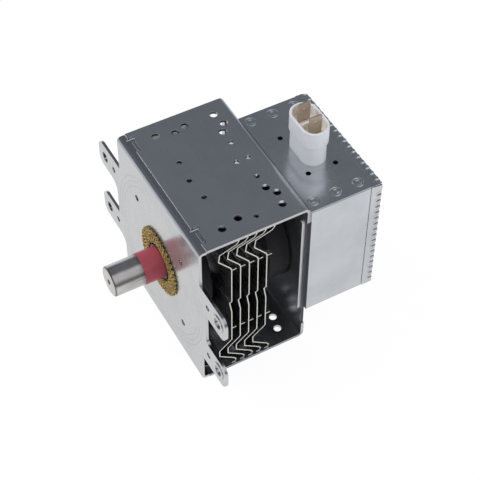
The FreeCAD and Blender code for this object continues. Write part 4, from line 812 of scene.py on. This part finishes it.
class MAGNETRON_OT_socket(Operator):
    """Finishes the white socket and its two blades"""
    bl_idname = "magnetron.socket"
    bl_label = "Socket and blades"

    def execute(self, context):
        settings = context.scene.magnetron_socket
        # The cream colour for the socket's recess is painted shade
        give_finish(make_plastic("socket_plastic", tuple(settings.plastic), 0.34,
                                 (0.93, 0.895, 0.83)), "connector_housing")
        give_finish(make_plastic("case_resin", (0.55, 0.53, 0.50), 0.5), "capacitor_case")
        colour = tuple(settings.blade)
        shade = tuple(0.8 * c for c in colour)
        give_finish(make_metal("blade_tin", colour, shade, 0.34, (900, 60, 200), 0.15, 0.0001,
                               0.75),
                    "terminal_tab_left", "terminal_tab_right")
        return {"FINISHED"}


class MAGNETRON_OT_tube(Operator):
    """Finishes the vacuum tube: anode, pole pieces, seals, ceramics and leads"""
    bl_idname = "magnetron.tube"
    bl_label = "Vacuum tube"

    def execute(self, context):
        colour = tuple(context.scene.magnetron_inside.copper)
        shade = tuple(0.62 * c for c in colour)
        copper = make_metal("anode_copper", colour, shade, 0.26, (200, 1200, 200), 0.2, 0.0001)
        give_finish(make_anode(colour), "anode_block")
        give_finish(copper, "exhaust_tube", "antenna_feeder", "strap_small_front",
                    "strap_large_front", "strap_small_rear", "strap_large_rear",
                    "choke_lead_upper_1", "choke_lead_upper_2", "choke_lead_lower_1",
                    "choke_lead_lower_2")
        iron = make_metal("pole_iron_plated", (0.50, 0.49, 0.48), (0.36, 0.35, 0.34), 0.34,
                          (500, 500, 500), 0.2, 0.0001)
        give_finish(iron, "pole_piece_front", "pole_piece_rear")
        seal = make_metal("seal_drawn", (0.58, 0.56, 0.53), (0.42, 0.40, 0.38), 0.3,
                          (400, 900, 400), 0.2, 0.0001)
        give_finish(seal, "filter_side_seal")
        # Painted shade: the seal at the neck between the gasket and the ceramic is darkened
        neck = make_metal("seal_painted_shade", (0.17, 0.155, 0.15), (0.10, 0.09, 0.09), 0.42,
                          (400, 900, 400), 0.2, 0.0, 0.8)
        give_finish(neck, "antenna_side_seal")
        refractory = make_metal("cathode_grey", (0.36, 0.36, 0.38), (0.22, 0.22, 0.24), 0.45,
                                (900, 300, 900), 0.3)
        give_finish(refractory, "end_hat_front", "end_hat_rear", "center_lead", "side_lead",
                    "stem_pin_upper", "stem_pin_lower")
        white = make_stone("stem_alumina", (0.78, 0.76, 0.71), (0.68, 0.66, 0.61), 0.5)
        give_finish(white, "stem_ceramic", "capacitor_ceramic")
        return {"FINISHED"}


class MAGNETRON_OT_windings(Operator):
    """Winds the filament and the two chokes from round wire"""
    bl_idname = "magnetron.windings"
    bl_label = "Windings"

    def execute(self, context):
        settings = context.scene.magnetron_inside
        colour = tuple(settings.copper)
        lacquer = make_metal("choke_lacquer", colour, tuple(0.7 * c for c in colour), 0.22,
                             (800, 800, 800), 0.1)
        for index in (1, 2):
            wind_coil(f"choke_winding_{index}", f"choke_coil_{index}", 2, settings.choke_wire,
                      settings.choke_turns, lacquer)
        tungsten = make_metal("filament_tungsten", (0.30, 0.30, 0.32), (0.18, 0.18, 0.20), 0.5,
                              (1200, 1200, 1200), 0.3)
        wind_coil("filament_winding", "filament", 1, settings.filament_wire,
                  settings.filament_turns, tungsten)
        return {"FINISHED"}


class MAGNETRON_OT_stage(Operator):
    """Sets the floor, the world, the lamps and the camera"""
    bl_idname = "magnetron.stage"
    bl_label = "Stage"

    def execute(self, context):
        settings = context.scene.magnetron_stage
        make_floor(cad_box[0].z)
        make_world(context.scene, settings.world_level)
        make_lamp("lamp_left", (-0.75, -0.95, 1.05), 0.9, settings.key_power)
        make_lamp("lamp_right", (1.25, 0.30, 0.75), 0.8, settings.fill_power)
        camera = bpy.data.objects.new("camera", bpy.data.cameras.new("camera"))
        camera.location = settings.camera_place
        camera.rotation_euler = Euler(settings.camera_turn, "XYZ")
        camera.data.sensor_width = 36.0
        camera.data.lens = settings.camera_lens
        camera.data.clip_start = 0.01
        context.scene.collection.objects.link(camera)
        context.scene.camera = camera
        context.scene.view_settings.view_transform = "Standard"
        return {"FINISHED"}


# Stage

def seen_directly(tree, path):
    """1 for rays from the camera, also through clear pieces, 0 elsewhere."""
    return combine(tree, "MAXIMUM", path.outputs["Is Camera Ray"],
                   path.outputs["Is Transmission Ray"])


def make_floor(height):
    """White paper that mirrors see as a glow, fading ahead of the part and beside it."""
    half = 3.0
    paper_glow = 1.06
    direct_share = 0.88
    mirror_share = 0.72
    points = [(-half, -half, height), (half, -half, height), (half, half, height),
              (-half, half, height)]
    mesh = bpy.data.meshes.new("floor")
    mesh.from_pydata(points, [], [(0, 1, 2, 3)])
    finish = bpy.data.materials.new("floor_paper")
    finish.use_nodes = True
    tree = finish.node_tree
    tree.nodes.clear()
    paper = add_node(tree, "ShaderNodeBsdfDiffuse", Color=(0.80, 0.80, 0.80, 1))
    path = tree.nodes.new("ShaderNodeLightPath")
    mirrored = path.outputs["Is Glossy Ray"]
    place = tree.nodes.new("ShaderNodeNewGeometry")
    split = tree.nodes.new("ShaderNodeSeparateXYZ")
    tree.links.new(place.outputs["Position"], split.inputs["Vector"])
    ahead = span(tree, split.outputs["Y"], -0.70, -0.10, 0.35, 1.0)
    beside = span(tree, split.outputs["X"], 0.18, 0.42, 1.0, 0.2)
    level = combine(tree, "ADD", multiply(tree, mirrored, multiply(tree, ahead, beside)),
                    multiply(tree, invert(tree, mirrored), paper_glow))
    glow = add_node(tree, "ShaderNodeEmission", Color=(1, 1, 1, 1))
    tree.links.new(level, glow.inputs["Strength"])
    share = combine(tree, "ADD", multiply(tree, seen_directly(tree, path), direct_share),
                    multiply(tree, mirrored, mirror_share))
    output = tree.nodes.new("ShaderNodeOutputMaterial")
    tree.links.new(mix_shaders(tree, share, paper.outputs["BSDF"], glow.outputs["Emission"]),
                   output.inputs["Surface"])
    mesh.materials.append(finish)
    floor = bpy.data.objects.new("floor", mesh)
    bpy.context.scene.collection.objects.link(floor)


def make_ramp(tree, value, stops):
    """Colours along a value, from stops in order, each a position and a colour."""
    ramp = tree.nodes.new("ShaderNodeValToRGB")
    tree.links.new(value, ramp.inputs["Fac"])
    elements = ramp.color_ramp.elements
    for element, (position, colour) in zip(elements, (stops[0], stops[-1])):
        element.position = position
        element.color = (*colour, 1)
    for position, colour in stops[1:-1]:
        elements.new(position).color = (*colour, 1)
    return ramp.outputs["Color"]


def make_world(scene, level):
    """Even light for surfaces, white for the camera, and a studio with ramps for mirrors."""
    left_stops = (
        (0.02, (1.0, 1.0, 1.0)), (0.14, (0.62, 0.66, 0.74)), (0.30, (0.36, 0.39, 0.46)),
        (0.46, (0.105, 0.115, 0.135)), (0.70, (0.186, 0.196, 0.220)),
        (1.0, (0.185, 0.195, 0.215)))
    right_stops = (
        (0.04, (0.16, 0.15, 0.155)), (0.20, (0.22, 0.20, 0.21)), (0.32, (0.42, 0.40, 0.42)),
        (0.52, (0.76, 0.75, 0.78)), (0.80, (0.84, 0.83, 0.86)))
    world = bpy.data.worlds.new("studio")
    world.use_nodes = True
    tree = world.node_tree
    tree.nodes.clear()
    coordinates = tree.nodes.new("ShaderNodeTexCoord")
    split = tree.nodes.new("ShaderNodeSeparateXYZ")
    tree.links.new(coordinates.outputs["Generated"], split.inputs["Vector"])
    left = make_ramp(tree, split.outputs["Z"], left_stops)
    right = make_ramp(tree, split.outputs["Z"], right_stops)
    side = span(tree, split.outputs["X"], -0.02, 0.28, 0.0, 1.0)
    sky = blend_colours(tree, side, left, right)
    behind = span(tree, split.outputs["Y"], 0.45, 0.75, 0.0, 0.6)
    sky = blend_colours(tree, behind, sky, (0.12, 0.13, 0.15))
    even = add_node(tree, "ShaderNodeBackground", Color=(1, 1, 1, 1), Strength=level)
    mirrored = add_node(tree, "ShaderNodeBackground", Color=sky, Strength=1.0)
    white = add_node(tree, "ShaderNodeBackground", Color=(1, 1, 1, 1), Strength=1.0)
    path = tree.nodes.new("ShaderNodeLightPath")
    indirect = mix_shaders(tree, path.outputs["Is Glossy Ray"], even.outputs["Background"],
                           mirrored.outputs["Background"])
    light = mix_shaders(tree, seen_directly(tree, path), indirect, white.outputs["Background"])
    output = tree.nodes.new("ShaderNodeOutputWorld")
    tree.links.new(light, output.inputs["Surface"])
    scene.world = world


def make_lamp(name, place, size, power):
    """Square lamp toward the part that mirrors don't show."""
    light = bpy.data.lights.new(name, "AREA")
    light.energy = power
    light.size = size
    lamp = bpy.data.objects.new(name, light)
    lamp.location = place
    lamp.rotation_mode = "QUATERNION"
    toward = Vector((0.0, 0.03, 0.0)) - Vector(place)
    lamp.rotation_quaternion = toward.to_track_quat("-Z", "Y")
    lamp.visible_glossy = False
    bpy.context.scene.collection.objects.link(lamp)


# Panel

class MAGNETRON_PT_panel(Panel):
    """Lists the steps and their settings"""
    bl_idname = "MAGNETRON_PT_panel"
    bl_label = "Magnetron"
    bl_space_type = "VIEW_3D"
    bl_region_type = "UI"
    bl_category = "Magnetron"

    def draw(self, context):
        for step, group in STEPS:
            box = self.layout.box()
            box.operator(step.bl_idname)
            settings = getattr(context.scene, group)
            for name in settings.__annotations__:
                box.prop(settings, name)


STEPS = (
    (MAGNETRON_OT_sheets, "magnetron_sheets"),
    (MAGNETRON_OT_fins, "magnetron_sheets"),
    (MAGNETRON_OT_magnets, "magnetron_inside"),
    (MAGNETRON_OT_antenna, "magnetron_antenna"),
    (MAGNETRON_OT_gasket, "magnetron_gasket"),
    (MAGNETRON_OT_socket, "magnetron_socket"),
    (MAGNETRON_OT_tube, "magnetron_inside"),
    (MAGNETRON_OT_windings, "magnetron_inside"),
    (MAGNETRON_OT_stage, "magnetron_stage"),
)
GROUPS = {
    "magnetron_sheets": SheetSettings,
    "magnetron_antenna": AntennaSettings,
    "magnetron_gasket": GasketSettings,
    "magnetron_socket": SocketSettings,
    "magnetron_inside": InsideSettings,
    "magnetron_stage": StageSettings,
}


def register():
    for name, group in GROUPS.items():
        bpy.utils.register_class(group)
        setattr(bpy.types.Scene, name, PointerProperty(type=group))
    for step, _ in STEPS:
        bpy.utils.register_class(step)
    bpy.utils.register_class(MAGNETRON_PT_panel)


def unregister():
    bpy.utils.unregister_class(MAGNETRON_PT_panel)
    for step, _ in reversed(STEPS):
        bpy.utils.unregister_class(step)
    for name, group in GROUPS.items():
        delattr(bpy.types.Scene, name)
        bpy.utils.unregister_class(group)


def main():
    register()
    bpy.ops.magnetron.sheets()
    bpy.ops.magnetron.fins()
    bpy.ops.magnetron.magnets()
    bpy.ops.magnetron.antenna()
    bpy.ops.magnetron.gasket()
    bpy.ops.magnetron.socket()
    bpy.ops.magnetron.tube()
    bpy.ops.magnetron.windings()
    bpy.ops.magnetron.stage()


if __name__ == "__main__":
    main()
